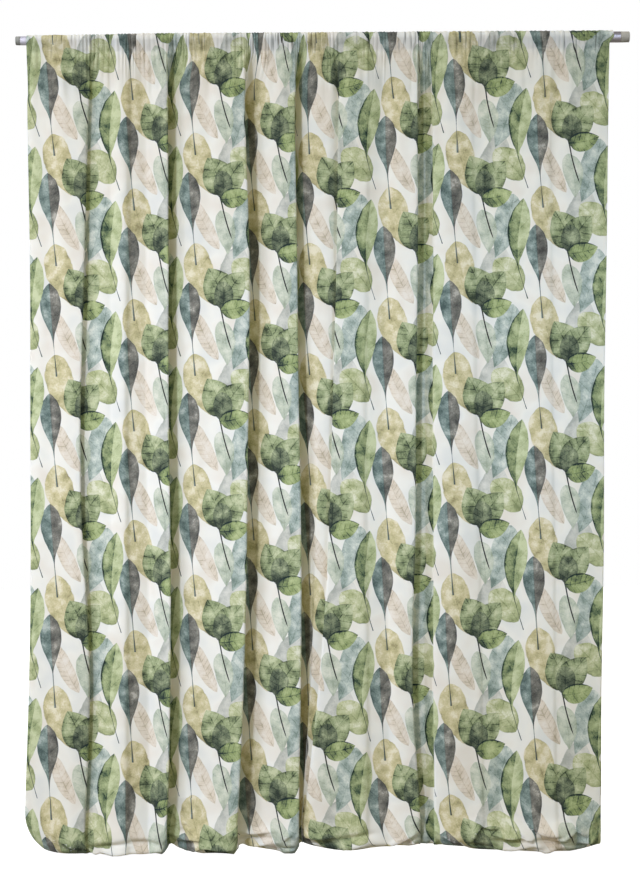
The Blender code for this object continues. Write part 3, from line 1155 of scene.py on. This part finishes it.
    def forward(self, down: float) -> float:
        """How far the front of the rod holds the cloth forward, a given distance below the seam."""
        return self.seam_forward * (1.0 - float(smooth_step(np.array(down / self.seam_fade))))

    def seam_line(self) -> SeamLine:
        """Works out the columns of the cloth along the seam below the pocket.

        Returns:
            The columns.
        """
        x, y, _ = self.section(self.seam_z, self.seam_depth)
        y = y - self.forward(0.0)
        _, _, flat_x = self.section(LEVELS[0], self.first_depth)
        crests = [through(-np.array(LEVELS), fold.crest, 0.0) for fold in FOLDS]
        anchors = np.array([x[0], *crests, x[-1]])
        even = np.interp(flat_x, np.interp(anchors, x, flat_x), anchors)
        return SeamLine(x, y, flat_x, even - x, self.gathers.ridge(flat_x, 0.0))

    def pocket(self, strip: Strip, seam: SeamLine) -> None:
        """Adds the pocket, from its seam at the back, up over the rod and down to its seam at the front.

        Args:
            strip: The rows so far.
            seam: The columns along the seam.
        """
        x = seam.x + self.evened * seam.to_even
        at_edge = smooth_step((seam.x - seam.x.max()) / self.spread_width + 1.0)
        on_wide = smooth_step((seam.x - self.step_from) / (self.step_to - self.step_from))
        radius = self.thin_pocket + (self.wide_pocket - self.thin_pocket) * on_wide
        low = math.radians(POCKET_TURNS[-1] - 180)
        back_length = math.hypot(self.seam_z + 0.5 * self.wide_pocket, self.back_run)
        quarter = self.wide_pocket * math.radians(POCKET_TURNS[-1] - 90)
        back_y = seam.y + self.back_layer
        strip.add(self.row(x, back_y, self.seam_z), seam.flat_x, -quarter - back_length)
        half_way = back_y + 0.5 * (radius * math.cos(low) - back_y)
        middle_z = 0.5 * (self.seam_z - radius * math.sin(low))
        strip.add(self.row(x, half_way, middle_z), seam.flat_x, -quarter - back_length / 2)
        stands = np.interp(POCKET_TURNS, *np.array(POCKET_STAND).T)
        for degrees, stand in zip(POCKET_TURNS, stands):
            angle = math.radians(degrees)
            reach = radius + stand * seam.ridge
            z = reach * math.sin(angle)
            shift = self.pocket_spread * at_edge * smooth_step((z - self.spread_from) / self.spread_fade)
            along = self.wide_pocket * (angle - math.pi / 2)
            strip.add(self.row(x + shift, reach * math.cos(angle), z), seam.flat_x, along)
        reach = radius + stands[-1] * seam.ridge
        front_y = -reach * math.cos(low)
        front_z = -reach * math.sin(low)
        seam_y = seam.y - self.seam_pucker * seam.ridge
        for share, bulge in FRONT_DROP:
            y = front_y + share * (seam_y - front_y) - bulge * seam.ridge
            z = front_z + share * (self.seam_z - front_z)
            strip.add(self.row(x, y, z), seam.flat_x, quarter + share * back_length)
        strip.add(self.row(x, seam_y, self.seam_z), seam.flat_x, quarter + back_length)

    def gathered(self, strip: Strip, seam: SeamLine) -> None:
        """Adds the gathered cloth below the seam, where the puckers fade into the folds.

        Args:
            strip: The rows so far.
            seam: The columns along the seam.
        """
        start = strip.flat_y[-1][0]
        for down in GATHER_ROWS:
            z = self.seam_z - down
            depth = float(np.interp(-z, *np.array(HEADING_DEPTHS).T))
            own_x, own_y, _ = self.section(z, depth)
            left = self.evened * (1.0 - float(smooth_step(np.array(down / GATHER_ROWS[-1]))))
            risen = float(smooth_step(np.array(down / self.gather_rise)))
            stand = self.seam_pucker + self.gather_stand * risen
            y = own_y - self.forward(down) - stand * self.gathers.ridge(seam.flat_x, down)
            y = y + self.ripple(seam.flat_x, z)
            strip.add(self.row(own_x + left * seam.to_even, y, z), seam.flat_x, start + down)

    def hanging(self, strip: Strip) -> None:
        """Adds the cloth from the heading down to where it breaks.

        Args:
            strip: The rows so far.
        """
        start = strip.flat_y[-1][0] + self.heading_end
        for z in np.linspace(self.hanging_start, self.break_start, self.hanging_rows):
            depth = float(np.interp(-z, *np.array(HANGING_DEPTHS).T))
            x, y, flat_x = (line[:: self.fine] for line in self.section(z, depth))
            x = x + self.wander * np.sin(3.1 * z + 9.0 * x) + self.drift * np.sin(7.3 * z)
            strip.add(self.row(x, y + self.ripple(flat_x, z), z), flat_x, start - z)

    def breaking(self, strip: Strip) -> None:
        """Adds the cloth where it breaks on the floor and its hem runs back under it.

        Args:
            strip: The rows so far.
        """
        table = np.array([(b.height, b.depth, b.bulge, b.sweep) for b in BREAKS])
        steps = np.hypot(np.diff(table[:, 0]), self.sweep_scale * np.diff(table[:, 3]))
        stops = np.concatenate([[0.0], np.cumsum(steps)])
        rows, flats = [], []
        for place in np.linspace(0.0, stops[-1], self.break_rows + 1)[1:]:
            row, flat_x = self.broken(Break(*(float(through(stops, column, place)) for column in table.T)))
            rows.append(row)
            flats.append(flat_x)
        above = strip.points[-1]
        lengths = [np.linalg.norm(rows[0] - above, axis=1)]
        lengths += [np.linalg.norm(b - a, axis=1) for a, b in zip(rows, rows[1:])]
        run = np.cumsum(lengths, axis=0)
        start = strip.flat_y[-1][0]
        scale = float(run[-1].mean()) / run[-1]
        for points, flat_x, length in zip(rows, flats, run):
            strip.add(points, flat_x, start + length * scale)

    def broken(self, stop: Break) -> tuple[Array, Array]:
        """Works out one row of the cloth where it breaks: its hem, its corner, its creases and its droop.

        Args:
            stop: The row's station.

        Returns:
            The row's points, and their distance from the left edge of the flat cloth.
        """
        stations = np.array([(p.x, p.lift, p.bulge, p.sweep) for p in HEM])
        z = self.floor_z + stop.height
        x, y, flat_x = (line[:: self.fine] for line in self.section(z, stop.depth))
        lift, bulge, sweep = (through(stations[:, 0], stations[:, i], x) for i in (1, 2, 3))
        lift = np.maximum(lift, 0.0)
        up = stop.height + lift * max(0.0, 1.0 - stop.height / self.corner_height)
        low = np.clip(1.0 - up / self.corner_height, 0.0, 1.0) ** self.corner_power
        corner = low * np.exp(-(x - x.min()) / self.corner_width)
        y = y + self.ripple(flat_x, z) - bulge * stop.bulge + sweep * stop.sweep
        pressed = self.creased(x, up)
        above_hem = np.clip((up - lift) / self.droop_from, 0.0, 1.0)
        up = up - self.droop * np.maximum(-pressed, 0.0) * above_hem
        y = y + self.corner_back * corner + pressed
        past = np.maximum(-y - self.free_front, 0.0)
        y = y + past - self.last_front * (1.0 - np.exp(-past / self.last_front))
        up = np.maximum(up, self.least_lift) + self.thickness / 2
        return self.row(x + self.corner_reach * corner, y, self.floor_z + up), flat_x

    def creased(self, x: Array, height: Array) -> Array:
        """The creases near the floor.

        Args:
            x: Places along the curtain.
            height: Their height above the floor.

        Returns:
            How far the cloth stands back because of them.
        """
        total = np.zeros_like(x)
        for crease in CREASES:
            lean = math.radians(crease.lean)
            along = (x - crease.x) * math.cos(lean) + (height - crease.height) * math.sin(lean)
            across = (height - crease.height) * math.cos(lean) - (x - crease.x) * math.sin(lean)
            total -= crease.rise * np.exp(-((along / crease.length) ** 2) - (across / crease.width) ** 2)
        return total

    @staticmethod
    def row(x: Array, y: Array, z: Array | float) -> Array:
        """Three lists of numbers, or single numbers, as one row of points."""
        return np.stack(np.broadcast_arrays(x, y, z), axis=-1).astype(float)

    def build(self, front: bpy.types.Material, back: bpy.types.Material) -> bpy.types.Object:
        """Builds the sheet as one closed thin mesh.

        Args:
            front: The finish of the printed side.
            back: The finish of the reverse side.

        Returns:
            The curtain.
        """
        strip = Strip()
        seam = self.seam_line()
        self.pocket(strip, seam)
        self.gathered(strip, seam)
        self.hanging(strip)
        self.breaking(strip)
        return SheetMesh(strip, self.thickness, self.fine).build("printed_curtain", front, back)


@dataclass
class SheetMesh:
    """A closed thin mesh laid over rows of points."""

    strip: Strip
    thickness: float
    fine: int
    map_front: float = 0.66
    map_gap: float = 0.004

    def normals(self) -> Array:
        """Which way the printed side faces at each point.

        Returns:
            A unit vector for each point, in the order of the rows.
        """
        found = []
        rows = self.strip.points
        for i, row in enumerate(rows):
            above = self.matched(rows[max(i - 1, 0)], row)
            below = self.matched(rows[min(i + 1, len(rows) - 1)], row)
            out = np.cross(below - above, np.gradient(row, axis=0))
            found.append(out / np.linalg.norm(out, axis=1, keepdims=True))
        return np.concatenate(found)

    def matched(self, other: Array, row: Array) -> Array:
        """Another row read at this row's columns.

        Args:
            other: The other row, as fine as this one or not.
            row: This row.

        Returns:
            The other row's points, one for each of this row's.
        """
        if len(other) == len(row):
            return other
        at = np.linspace(0, len(other) - 1, len(row))
        return np.stack([np.interp(at, np.arange(len(other)), other[:, k]) for k in range(3)], axis=1)

    def faces(self) -> list[tuple[int, ...]]:
        """The faces of the printed side, each turned outward.

        Returns:
            The points of each face.
        """
        found: list[tuple[int, ...]] = []
        start = 0
        for row, after in zip(self.strip.points, self.strip.points[1:]):
            here = start + np.arange(len(row))
            there = start + len(row) + np.arange(len(after))
            if len(row) == len(after):
                quads = np.stack([here[:-1], there[:-1], there[1:], here[1:]], axis=1)
                found += list(map(tuple, quads.tolist()))
            else:
                for j in range(len(after) - 1):
                    upper = here[j * self.fine : (j + 1) * self.fine + 1][::-1]
                    found.append((int(there[j]), int(there[j + 1]), *map(int, upper)))
            start += len(row)
        return found

    def rim(self) -> list[int]:
        """The points round the sheet's edge.

        Returns:
            The points in order: down the left side, along the hem, up the right side and back along the top.
        """
        starts = np.cumsum([0] + [len(row) for row in self.strip.points])
        left = list(starts[:-1])
        right = [s - 1 for s in starts[1:]]
        hem = list(range(starts[-2] + 1, starts[-1] - 1))
        top = list(range(1, starts[1] - 1))
        return [int(i) for i in (*left, *hem, *right[::-1], *top[::-1])]

    def build(self, name: str, front: bpy.types.Material, back: bpy.types.Material) -> bpy.types.Object:
        """Builds the mesh with its two sides, its rim and its maps.

        Args:
            name: The piece's name.
            front: The finish of the printed side.
            back: The finish of the reverse side.

        Returns:
            The piece.
        """
        middle = np.concatenate(self.strip.points)
        count = len(middle)
        shift = self.normals() * self.thickness / 2
        outer = self.faces()
        inner = [tuple(count + i for i in face[::-1]) for face in outer]
        ring = self.rim()
        band = [(a, a + count, b + count, b) for a, b in zip(ring, ring[1:] + ring[:1])]
        mesh = bpy.data.meshes.new(name)
        mesh.from_pydata(np.concatenate([middle + shift, middle - shift]).tolist(), [], outer + inner + band)
        mesh.materials.append(front)
        mesh.materials.append(back)
        slots = np.zeros(len(mesh.polygons), np.int32)
        slots[len(outer) : 2 * len(outer)] = 1
        mesh.polygons.foreach_set("material_index", slots)
        mesh.shade_smooth()
        self.lay_maps(mesh, count, len(outer))
        return put_in_scene(name, mesh)

    def lay_maps(self, mesh: bpy.types.Mesh, count: int, sides: int) -> None:
        """Lays the flat cloth's metres on the mesh as one map, and a map that fills one square as another.

        Args:
            mesh: The mesh.
            count: How many points each side has.
            sides: How many faces each side has.
        """
        flat = np.stack([np.concatenate(self.strip.flat_x), np.concatenate(self.strip.flat_y)], axis=1)
        corner = np.zeros(len(mesh.loops), np.int32)
        mesh.loops.foreach_get("vertex_index", corner)
        totals = np.zeros(len(mesh.polygons), np.int32)
        mesh.polygons.foreach_get("loop_total", totals)
        face = np.repeat(np.arange(len(totals)), totals)
        cloth = mesh.uv_layers.new(name="cloth")
        cloth.uv.foreach_set("vector", flat[corner % count].astype(np.float32).ravel())
        low, high = flat.min(axis=0), flat.max(axis=0)
        unit = (flat - low) / (high - low) * (1 - 2 * self.map_gap) + self.map_gap
        place = unit[corner % count]
        on_back = (face >= sides) & (face < 2 * sides)
        on_rim = face >= 2 * sides
        place[:, 0] *= self.map_front
        place[on_back, 0] = self.map_front + place[on_back, 0] * (1 - self.map_front) / self.map_front
        outward = np.sign(place - np.array([self.map_front / 2, 0.5]))
        inner_corner = on_rim & (corner >= count)
        place[inner_corner] += outward[inner_corner] * self.map_gap * 0.3
        whole = mesh.uv_layers.new(name="OFBake")
        whole.uv.foreach_set("vector", place.astype(np.float32).ravel())


# ------------------------------------------------------------------------------------------------
# Finishes


@dataclass(frozen=True)
class PrintedCloth:
    """Woven cloth with the leaf print on its face, which shows faintly on its reverse."""

    show_through: float = 0.45
    glow: float = 0.30
    warm: Colour = (1.0, 0.87, 0.38)
    roughness: float = 0.82
    pleats_to_a_metre: tuple[float, float, float] = (125.0, 9.0, 1.0)
    crowds_to_a_metre: tuple[float, float, float] = (11.0, 1.5, 1.0)
    pleat_sway: float = 0.015
    pleat_shadow: Colour = (0.40, 0.39, 0.35)
    relief: float = 0.0050
    slub_share: float = 0.04

    def pleated(self, nodes: Nodes, spot: Socket) -> tuple[Socket, Socket]:
        """Draws the tiny pleats of the heading, crowded in some places and few in others.

        Args:
            nodes: The tree to write in.
            spot: The place on the flat cloth.

        Returns:
            The pleats, and how much they show there.
        """
        pleats = nodes.noise(spot, 1.0, 1.5, self.pleats_to_a_metre, flat=True)
        crowded = nodes.noise(spot, 1.0, 0.0, self.crowds_to_a_metre, flat=True)
        crowded = nodes.math("MULTIPLY_ADD", crowded, 5.0, -1.9, clamp=True)
        near_top = nodes.math("MULTIPLY_ADD", nodes.split(spot)[1], 22.0, 2.0, clamp=True)
        return pleats, nodes.math("MULTIPLY", near_top, crowded)

    def inked(self, nodes: Nodes, group: bpy.types.NodeTree, spot: Socket, pleats: Socket,
              near: Socket) -> Socket:
        """Lays the print on the cloth, swayed and shaded by the pleats.

        Args:
            nodes: The tree to write in.
            group: The print.
            spot: The place on the flat cloth.
            pleats: The pleats.
            near: How much they show there.

        Returns:
            The colour.
        """
        sway = nodes.math("MULTIPLY", near, self.pleat_sway)
        shift = nodes.point(nodes.math("MULTIPLY", nodes.math("SUBTRACT", pleats, 0.5), sway))
        printed = nodes.add("ShaderNodeGroup", node_tree=group)
        nodes.feed(printed.inputs[0], nodes.vector("ADD", spot, shift))
        colour = printed.outputs[0]
        creased = nodes.math("MULTIPLY_ADD", pleats, -5.5, 2.45, clamp=True)
        shadow = nodes.mix(1.0, colour, self.pleat_shadow, "MULTIPLY")
        return nodes.mix(nodes.math("MULTIPLY", creased, near), colour, shadow)

    def material(self, name: str, group: bpy.types.NodeTree, reverse: bool) -> bpy.types.Material:
        """Builds the finish of one side.

        Args:
            name: The material's name.
            group: The print.
            reverse: Whether it is the side without the print.

        Returns:
            The material.
        """
        finish = Finish(name)
        nodes = finish.nodes
        place = nodes.add("ShaderNodeUVMap", uv_map="cloth").outputs[0]
        spot = nodes.vector("MULTIPLY", place, (1.0, -1.0, 0.0))
        pleats, near = self.pleated(nodes, spot)
        colour = self.inked(nodes, group, spot, pleats, near)
        if reverse:
            colour = nodes.mix(self.show_through, GROUND, colour)
        slubs = nodes.math("MULTIPLY", nodes.noise(place, 420.0, 1.0, (1.0, 0.12, 1.0)), self.slub_share)
        height = nodes.math("ADD", nodes.math("MULTIPLY", pleats, near), slubs)
        finish.feed("Base Color", colour)
        finish.feed("Normal", nodes.bump(height, 0.5, self.relief))
        finish.surface.inputs["Roughness"].default_value = self.roughness
        finish.surface.inputs["Specular IOR Level"].default_value = 0.25
        finish.surface.inputs["Sheen Weight"].default_value = 0.08
        finish.surface.inputs["Sheen Roughness"].default_value = 0.5
        through_light = nodes.add("ShaderNodeBsdfTranslucent")
        nodes.feed(through_light.inputs["Color"], nodes.mix(1.0, colour, self.warm, "MULTIPLY"))
        both = nodes.add("ShaderNodeMixShader")
        both.inputs[0].default_value = self.glow
        nodes.feed(both.inputs[1], finish.surface.outputs[0])
        nodes.feed(both.inputs[2], through_light.outputs[0])
        output = finish.material.node_tree.nodes["Material Output"]
        nodes.feed(output.inputs["Surface"], both.outputs[0])
        return finish.material


@dataclass(frozen=True)
class PlatedSteel:
    """Plated tube, polished along its length."""

    name: str
    colour: Colour
    roughness: float
    dulled: float = 0.82
    relief: float = 0.0002

    def material(self) -> bpy.types.Material:
        """Builds the finish.

        Returns:
            The material.
        """
        finish = Finish(self.name)
        nodes = finish.nodes
        place = nodes.add("ShaderNodeTexCoord").outputs["Object"]
        lines = nodes.noise(place, 900.0, 2.0, (0.02, 1.0, 1.0))
        cloud = nodes.noise(place, 45.0, 3.0)
        dark = tuple(self.dulled * c for c in self.colour)
        rough = nodes.math("MULTIPLY_ADD", lines, 0.12, self.roughness - 0.06)
        finish.feed("Base Color", nodes.mix(cloud, dark, self.colour))
        finish.feed("Roughness", nodes.math("MULTIPLY_ADD", cloud, 0.06, rough))
        finish.feed("Normal", nodes.bump(lines, 0.10, self.relief))
        finish.surface.inputs["Metallic"].default_value = 1.0
        return finish.material


@dataclass(frozen=True)
class MouldedPlastic:
    """Matt moulded plastic with a fine orange-peel grain."""

    name: str
    colour: Colour
    roughness: float = 0.36
    dulled: float = 0.80
    relief: float = 0.0002

    def material(self) -> bpy.types.Material:
        """Builds the finish.

        Returns:
            The material.
        """
        finish = Finish(self.name)
        nodes = finish.nodes
        place = nodes.add("ShaderNodeTexCoord").outputs["Object"]
        cloud = nodes.noise(place, 160.0, 3.0)
        peel = nodes.noise(place, 1400.0, 1.0)
        dark = tuple(self.dulled * c for c in self.colour)
        finish.feed("Base Color", nodes.mix(cloud, dark, self.colour))
        finish.feed("Roughness", nodes.math("MULTIPLY_ADD", cloud, 0.15, self.roughness))
        finish.feed("Normal", nodes.bump(peel, 0.20, self.relief))
        return finish.material


# ------------------------------------------------------------------------------------------------
# The rod


@dataclass
class Rod:
    """The telescopic rod: two tubes and two caps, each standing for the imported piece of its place."""

    sides: int = 96
    edge: float = 0.0005
    thin_bore: float = 0.0118
    wide_bore: float = 0.0136
    left_head: float = 0.014
    right_head: float = 0.026
    cap_dish: float = 0.0010
    cap_edge: float = 0.0003
    groove_depth: float = 0.0010
    sharp_from: float = 50.0

    def turned(self, name: str, profile: list[tuple[float, float]],
               material: bpy.types.Material) -> bpy.types.Object:
        """Builds one piece turned about the rod's axis.

        Args:
            name: The piece's name.
            profile: Its outline as x and radius. It runs leftward along the piece's outer side.
            material: Its finish.

        Returns:
            The piece.
        """
        points: list[tuple[float, float, float]] = []
        rings: list[list[int]] = []
        for x, radius in profile:
            count = self.sides if radius > 0.0 else 1
            rings.append([len(points) + i for i in range(count)])
            turns = [2 * math.pi * i / count for i in range(count)]
            points += [(x, radius * math.cos(a), radius * math.sin(a)) for a in turns]
        faces: list[tuple[int, ...]] = []
        closed = profile[0][1] > 0.0
        for one, two in zip(rings, rings[1:] + (rings[:1] if closed else [])):
            for i in range(self.sides):
                j = (i + 1) % self.sides
                corners = [one[i % len(one)], one[j % len(one)], two[j % len(two)], two[i % len(two)]]
                faces.append(tuple(dict.fromkeys(corners)))
        mesh = bpy.data.meshes.new(name)
        mesh.from_pydata(points, [], faces)
        mesh.materials.append(material)
        mesh.shade_smooth()
        mesh.set_sharp_from_angle(angle=math.radians(self.sharp_from))
        return put_in_scene(name, mesh)

    def tube(self, node: str, bore: float, material: bpy.types.Material) -> bpy.types.Object:
        """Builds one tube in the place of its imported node.

        Args:
            node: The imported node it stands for.
            bore: The radius of its bore.
            material: Its finish.

        Returns:
            The tube.
        """
        low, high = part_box(node)
        radius = high.z
        edge = self.edge
        profile = [
            (high.x, bore), (high.x, radius - edge), (high.x - edge, radius),
            (low.x + edge, radius), (low.x, radius - edge), (low.x, bore),
        ]
        piece = self.turned(node + "_smooth", profile, material)
        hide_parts(node)
        return piece

    def cap(self, node: str, side: int, head: float, material: bpy.types.Material) -> bpy.types.Object:
        """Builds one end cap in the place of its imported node.

        Args:
            node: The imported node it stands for.
            side: 1 at the right end, -1 at the left.
            head: The length of the part that shows.
            material: Its finish.

        Returns:
            The cap.
        """
        low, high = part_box(node)
        radius = high.z
        end = max(abs(low.x), abs(high.x))
        tail = min(abs(low.x), abs(high.x))
        inner = end - head
        groove = end - 0.20 * head
        spigot = 0.78 * radius
        rim = radius - self.cap_edge
        floor = radius - self.groove_depth
        outline = [
            (end - self.cap_dish, 0.0), (end - self.cap_dish, 0.60 * radius), (end, 0.68 * radius),
            (end, radius - 0.0016), (end - 0.0004, radius - 0.0007), (end - 0.0013, rim),
            (groove, rim), (groove - 0.0003, floor), (groove - 0.0010, floor), (groove - 0.0013, rim),
            (inner + 0.0007, radius), (inner, radius - 0.0006), (inner, spigot), (tail, spigot), (tail, 0.0),
        ]
        piece = self.turned(node + "_moulded", [(side * x, r) for x, r in outline][::side], material)
        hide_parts(node)
        return piece

    def build(self) -> list[bpy.types.Object]:
        """Builds the four pieces and attaches each to the body.

        Returns:
            The pieces.
        """
        thin = PlatedSteel("thin_tube_satin", shade(222, 218, 221), 0.72)
        wide = PlatedSteel("wide_tube_satin", shade(202, 191, 189), 0.50)
        left = MouldedPlastic("left_cap_moulding", shade(160, 160, 152))
        right = MouldedPlastic("right_cap_moulding", shade(180, 174, 160))
        pieces = [
            self.tube("rod_thin_tube", self.thin_bore, thin.material()),
            self.tube("rod_wide_tube", self.wide_bore, wide.material()),
            self.cap("end_cap_left", -1, self.left_head, left.material()),
            self.cap("end_cap_right", 1, self.right_head, right.material()),
        ]
        slots = ("thin_tube_metal", "wide_tube_metal", "left_cap_plastic", "right_cap_plastic")
        for piece, slot in zip(pieces, slots):
            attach(piece, BODY)
        return pieces


# ------------------------------------------------------------------------------------------------
# The studio


@dataclass(frozen=True)
class Softbox:
    """One large soft light."""

    name: str
    place: tuple[float, float, float]
    aim: tuple[float, float, float]
    size: tuple[float, float]
    power: float
    tint: Colour = (1.0, 1.0, 1.0)
    spread: float = 180.0

    def build(self) -> bpy.types.Object:
        """Builds the light.

        Returns:
            The light.
        """
        lamp = bpy.data.lights.new(self.name, "AREA")
        lamp.shape = "RECTANGLE"
        lamp.size, lamp.size_y = self.size
        lamp.energy = self.power
        lamp.color = self.tint
        lamp.spread = math.radians(self.spread)
        light = put_in_scene(self.name, lamp)
        light.location = self.place
        light.rotation_euler = (Vector(self.aim) - Vector(self.place)).to_track_quat("-Z", "Y").to_euler()
        return light


@dataclass
class Studio:
    """A pale floor, soft light and the camera."""

    floor_z: float
    reach: float = 9.0
    surround: float = 0.52
    overhead: float = 0.7
    glossy_surround: float = 0.30
    horizon: float = 1.4
    horizon_narrowing: float = 6.0
    warm: Colour = (1.0, 0.97, 0.86)
    floor_grey: float = 0.28
    floor_glow: float = 0.78
    floor_brightening: float = 0.35
    lights: tuple[Softbox, ...] = (
        Softbox("key", (-3.8, -5.2, 2.0), (-0.5, 0.0, -1.42), (1.0, 1.0), 17.0, (0.90, 0.96, 1.17), 42.0),
        Softbox("side", (-7.0, -4.0, 1.6), (-0.5, 0.0, -1.42), (3.8, 3.8), 27.0, (0.90, 0.96, 1.17), 42.0),
        Softbox("cool", (4.8, -3.2, 0.2), (1.0, 0.0, -0.78), (1.5, 1.5), 4.0, (0.62, 0.85, 1.25), 24.0),
        Softbox("rear", (0.5, 5.6, 0.4), (0.0, 0.0, -1.2), (3.0, 3.0), 60.0, (1.0, 0.95, 0.80)),
    )
    camera_place: tuple[float, float, float] = (-0.0149, -5.0, -1.177)
    camera_roll: float = -0.37
    lens: float = 69.7

    def floor(self) -> bpy.types.Object:
        """Builds the floor.

        Returns:
            The floor.
        """
        corners = [(-1, -1), (1, -1), (1, 1), (-1, 1)]
        points = [(self.reach * x, self.reach * y, self.floor_z) for x, y in corners]
        mesh = bpy.data.meshes.new("studio_floor")
        mesh.from_pydata(points, [], [(0, 1, 2, 3)])
        finish = Finish("studio_floor")
        nodes = finish.nodes
        finish.surface.inputs["Base Color"].default_value = (self.floor_grey,) * 3 + (1.0,)
        finish.surface.inputs["Roughness"].default_value = 0.9
        finish.surface.inputs["Specular IOR Level"].default_value = 0.1
        finish.surface.inputs["Emission Color"].default_value = (1.0, 1.0, 1.0, 1.0)
        seen = nodes.add("ShaderNodeLightPath").outputs["Is Camera Ray"]
        away = nodes.add("ShaderNodeVectorMath", operation="LENGTH")
        nodes.feed(away.inputs[0], nodes.add("ShaderNodeTexCoord").outputs["Object"])
        far = nodes.math("MULTIPLY_ADD", away.outputs["Value"], self.floor_brightening, self.floor_glow,
                         clamp=True)
        finish.feed("Emission Strength", nodes.math("MULTIPLY", far, seen))
        mesh.materials.append(finish.material)
        floor = put_in_scene("studio_floor", mesh)
        return floor

    def world(self) -> None:
        """Sets the white surround: bright where it is seen, dimmer as light."""
        world = bpy.data.worlds.new("studio")
        world.use_nodes = True
        nodes = Nodes(world.node_tree)
        background = world.node_tree.nodes["Background"]
        path = nodes.add("ShaderNodeLightPath")
        seen = path.outputs["Is Camera Ray"]
        shone = path.outputs["Is Glossy Ray"]
        up = nodes.split(nodes.add("ShaderNodeTexCoord").outputs["Generated"])[2]
        soft = nodes.math("MULTIPLY_ADD", up, self.overhead * self.surround, self.surround)
        level = nodes.math("ABSOLUTE", up)
        band = nodes.math("MULTIPLY_ADD", level, -self.horizon_narrowing, 1.0, clamp=True)
        shiny = nodes.math("MULTIPLY_ADD", band, self.horizon, self.glossy_surround)
        strength = soft
        for share, target in ((shone, shiny), (seen, 1.0)):
            more = nodes.math("SUBTRACT", target, strength)
            strength = nodes.math("ADD", nodes.math("MULTIPLY", share, more), strength)
        nodes.feed(background.inputs["Strength"], strength)
        plain = nodes.math("ADD", seen, shone, clamp=True)
        nodes.feed(background.inputs["Color"], nodes.mix(plain, self.warm, (1.0, 1.0, 1.0)))
        bpy.context.scene.world = world

    def camera(self) -> bpy.types.Object:
        """Builds the camera, level and straight in front, with a slight roll.

        Returns:
            The camera.
        """
        data = bpy.data.cameras.new("front_camera")
        data.lens = self.lens
        camera = put_in_scene("front_camera", data)
        upright = Matrix.Rotation(math.radians(90), 4, "X")
        roll = Matrix.Rotation(math.radians(self.camera_roll), 4, "Z")
        camera.matrix_world = Matrix.Translation(self.camera_place) @ upright @ roll
        bpy.context.scene.camera = camera
        return camera

    def build(self) -> None:
        """Builds the floor, the surround, the lights and the camera."""
        self.floor()
        self.world()
        for light in self.lights:
            light.build()
        self.camera()
        bpy.context.scene.view_settings.view_transform = "Standard"


def report(piece: bpy.types.Object) -> None:
    """Logs one piece's name and how many faces it has."""
    LOG.info("%s: %d faces", piece.name, len(piece.data.polygons))


def main() -> None:
    """Builds the curtain, its rod and the studio."""
    logging.basicConfig(level=logging.INFO, format="%(message)s")
    floor_z = CAD_BOX[0].z
    rod = Rod().build()
    print_group = LeafPrint().group()
    cloth = PrintedCloth()
    front = cloth.material("printed_cloth_face", print_group, reverse=False)
    back = cloth.material("printed_cloth_reverse", print_group, reverse=True)
    sheet = Curtain(floor_z)
    curtain = sheet.build(front, back)
    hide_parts("curtain")
    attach(curtain, BODY)
    for piece in (curtain, *rod):
        report(piece)
    Studio(floor_z).build()


if __name__ == "__main__":
    main()
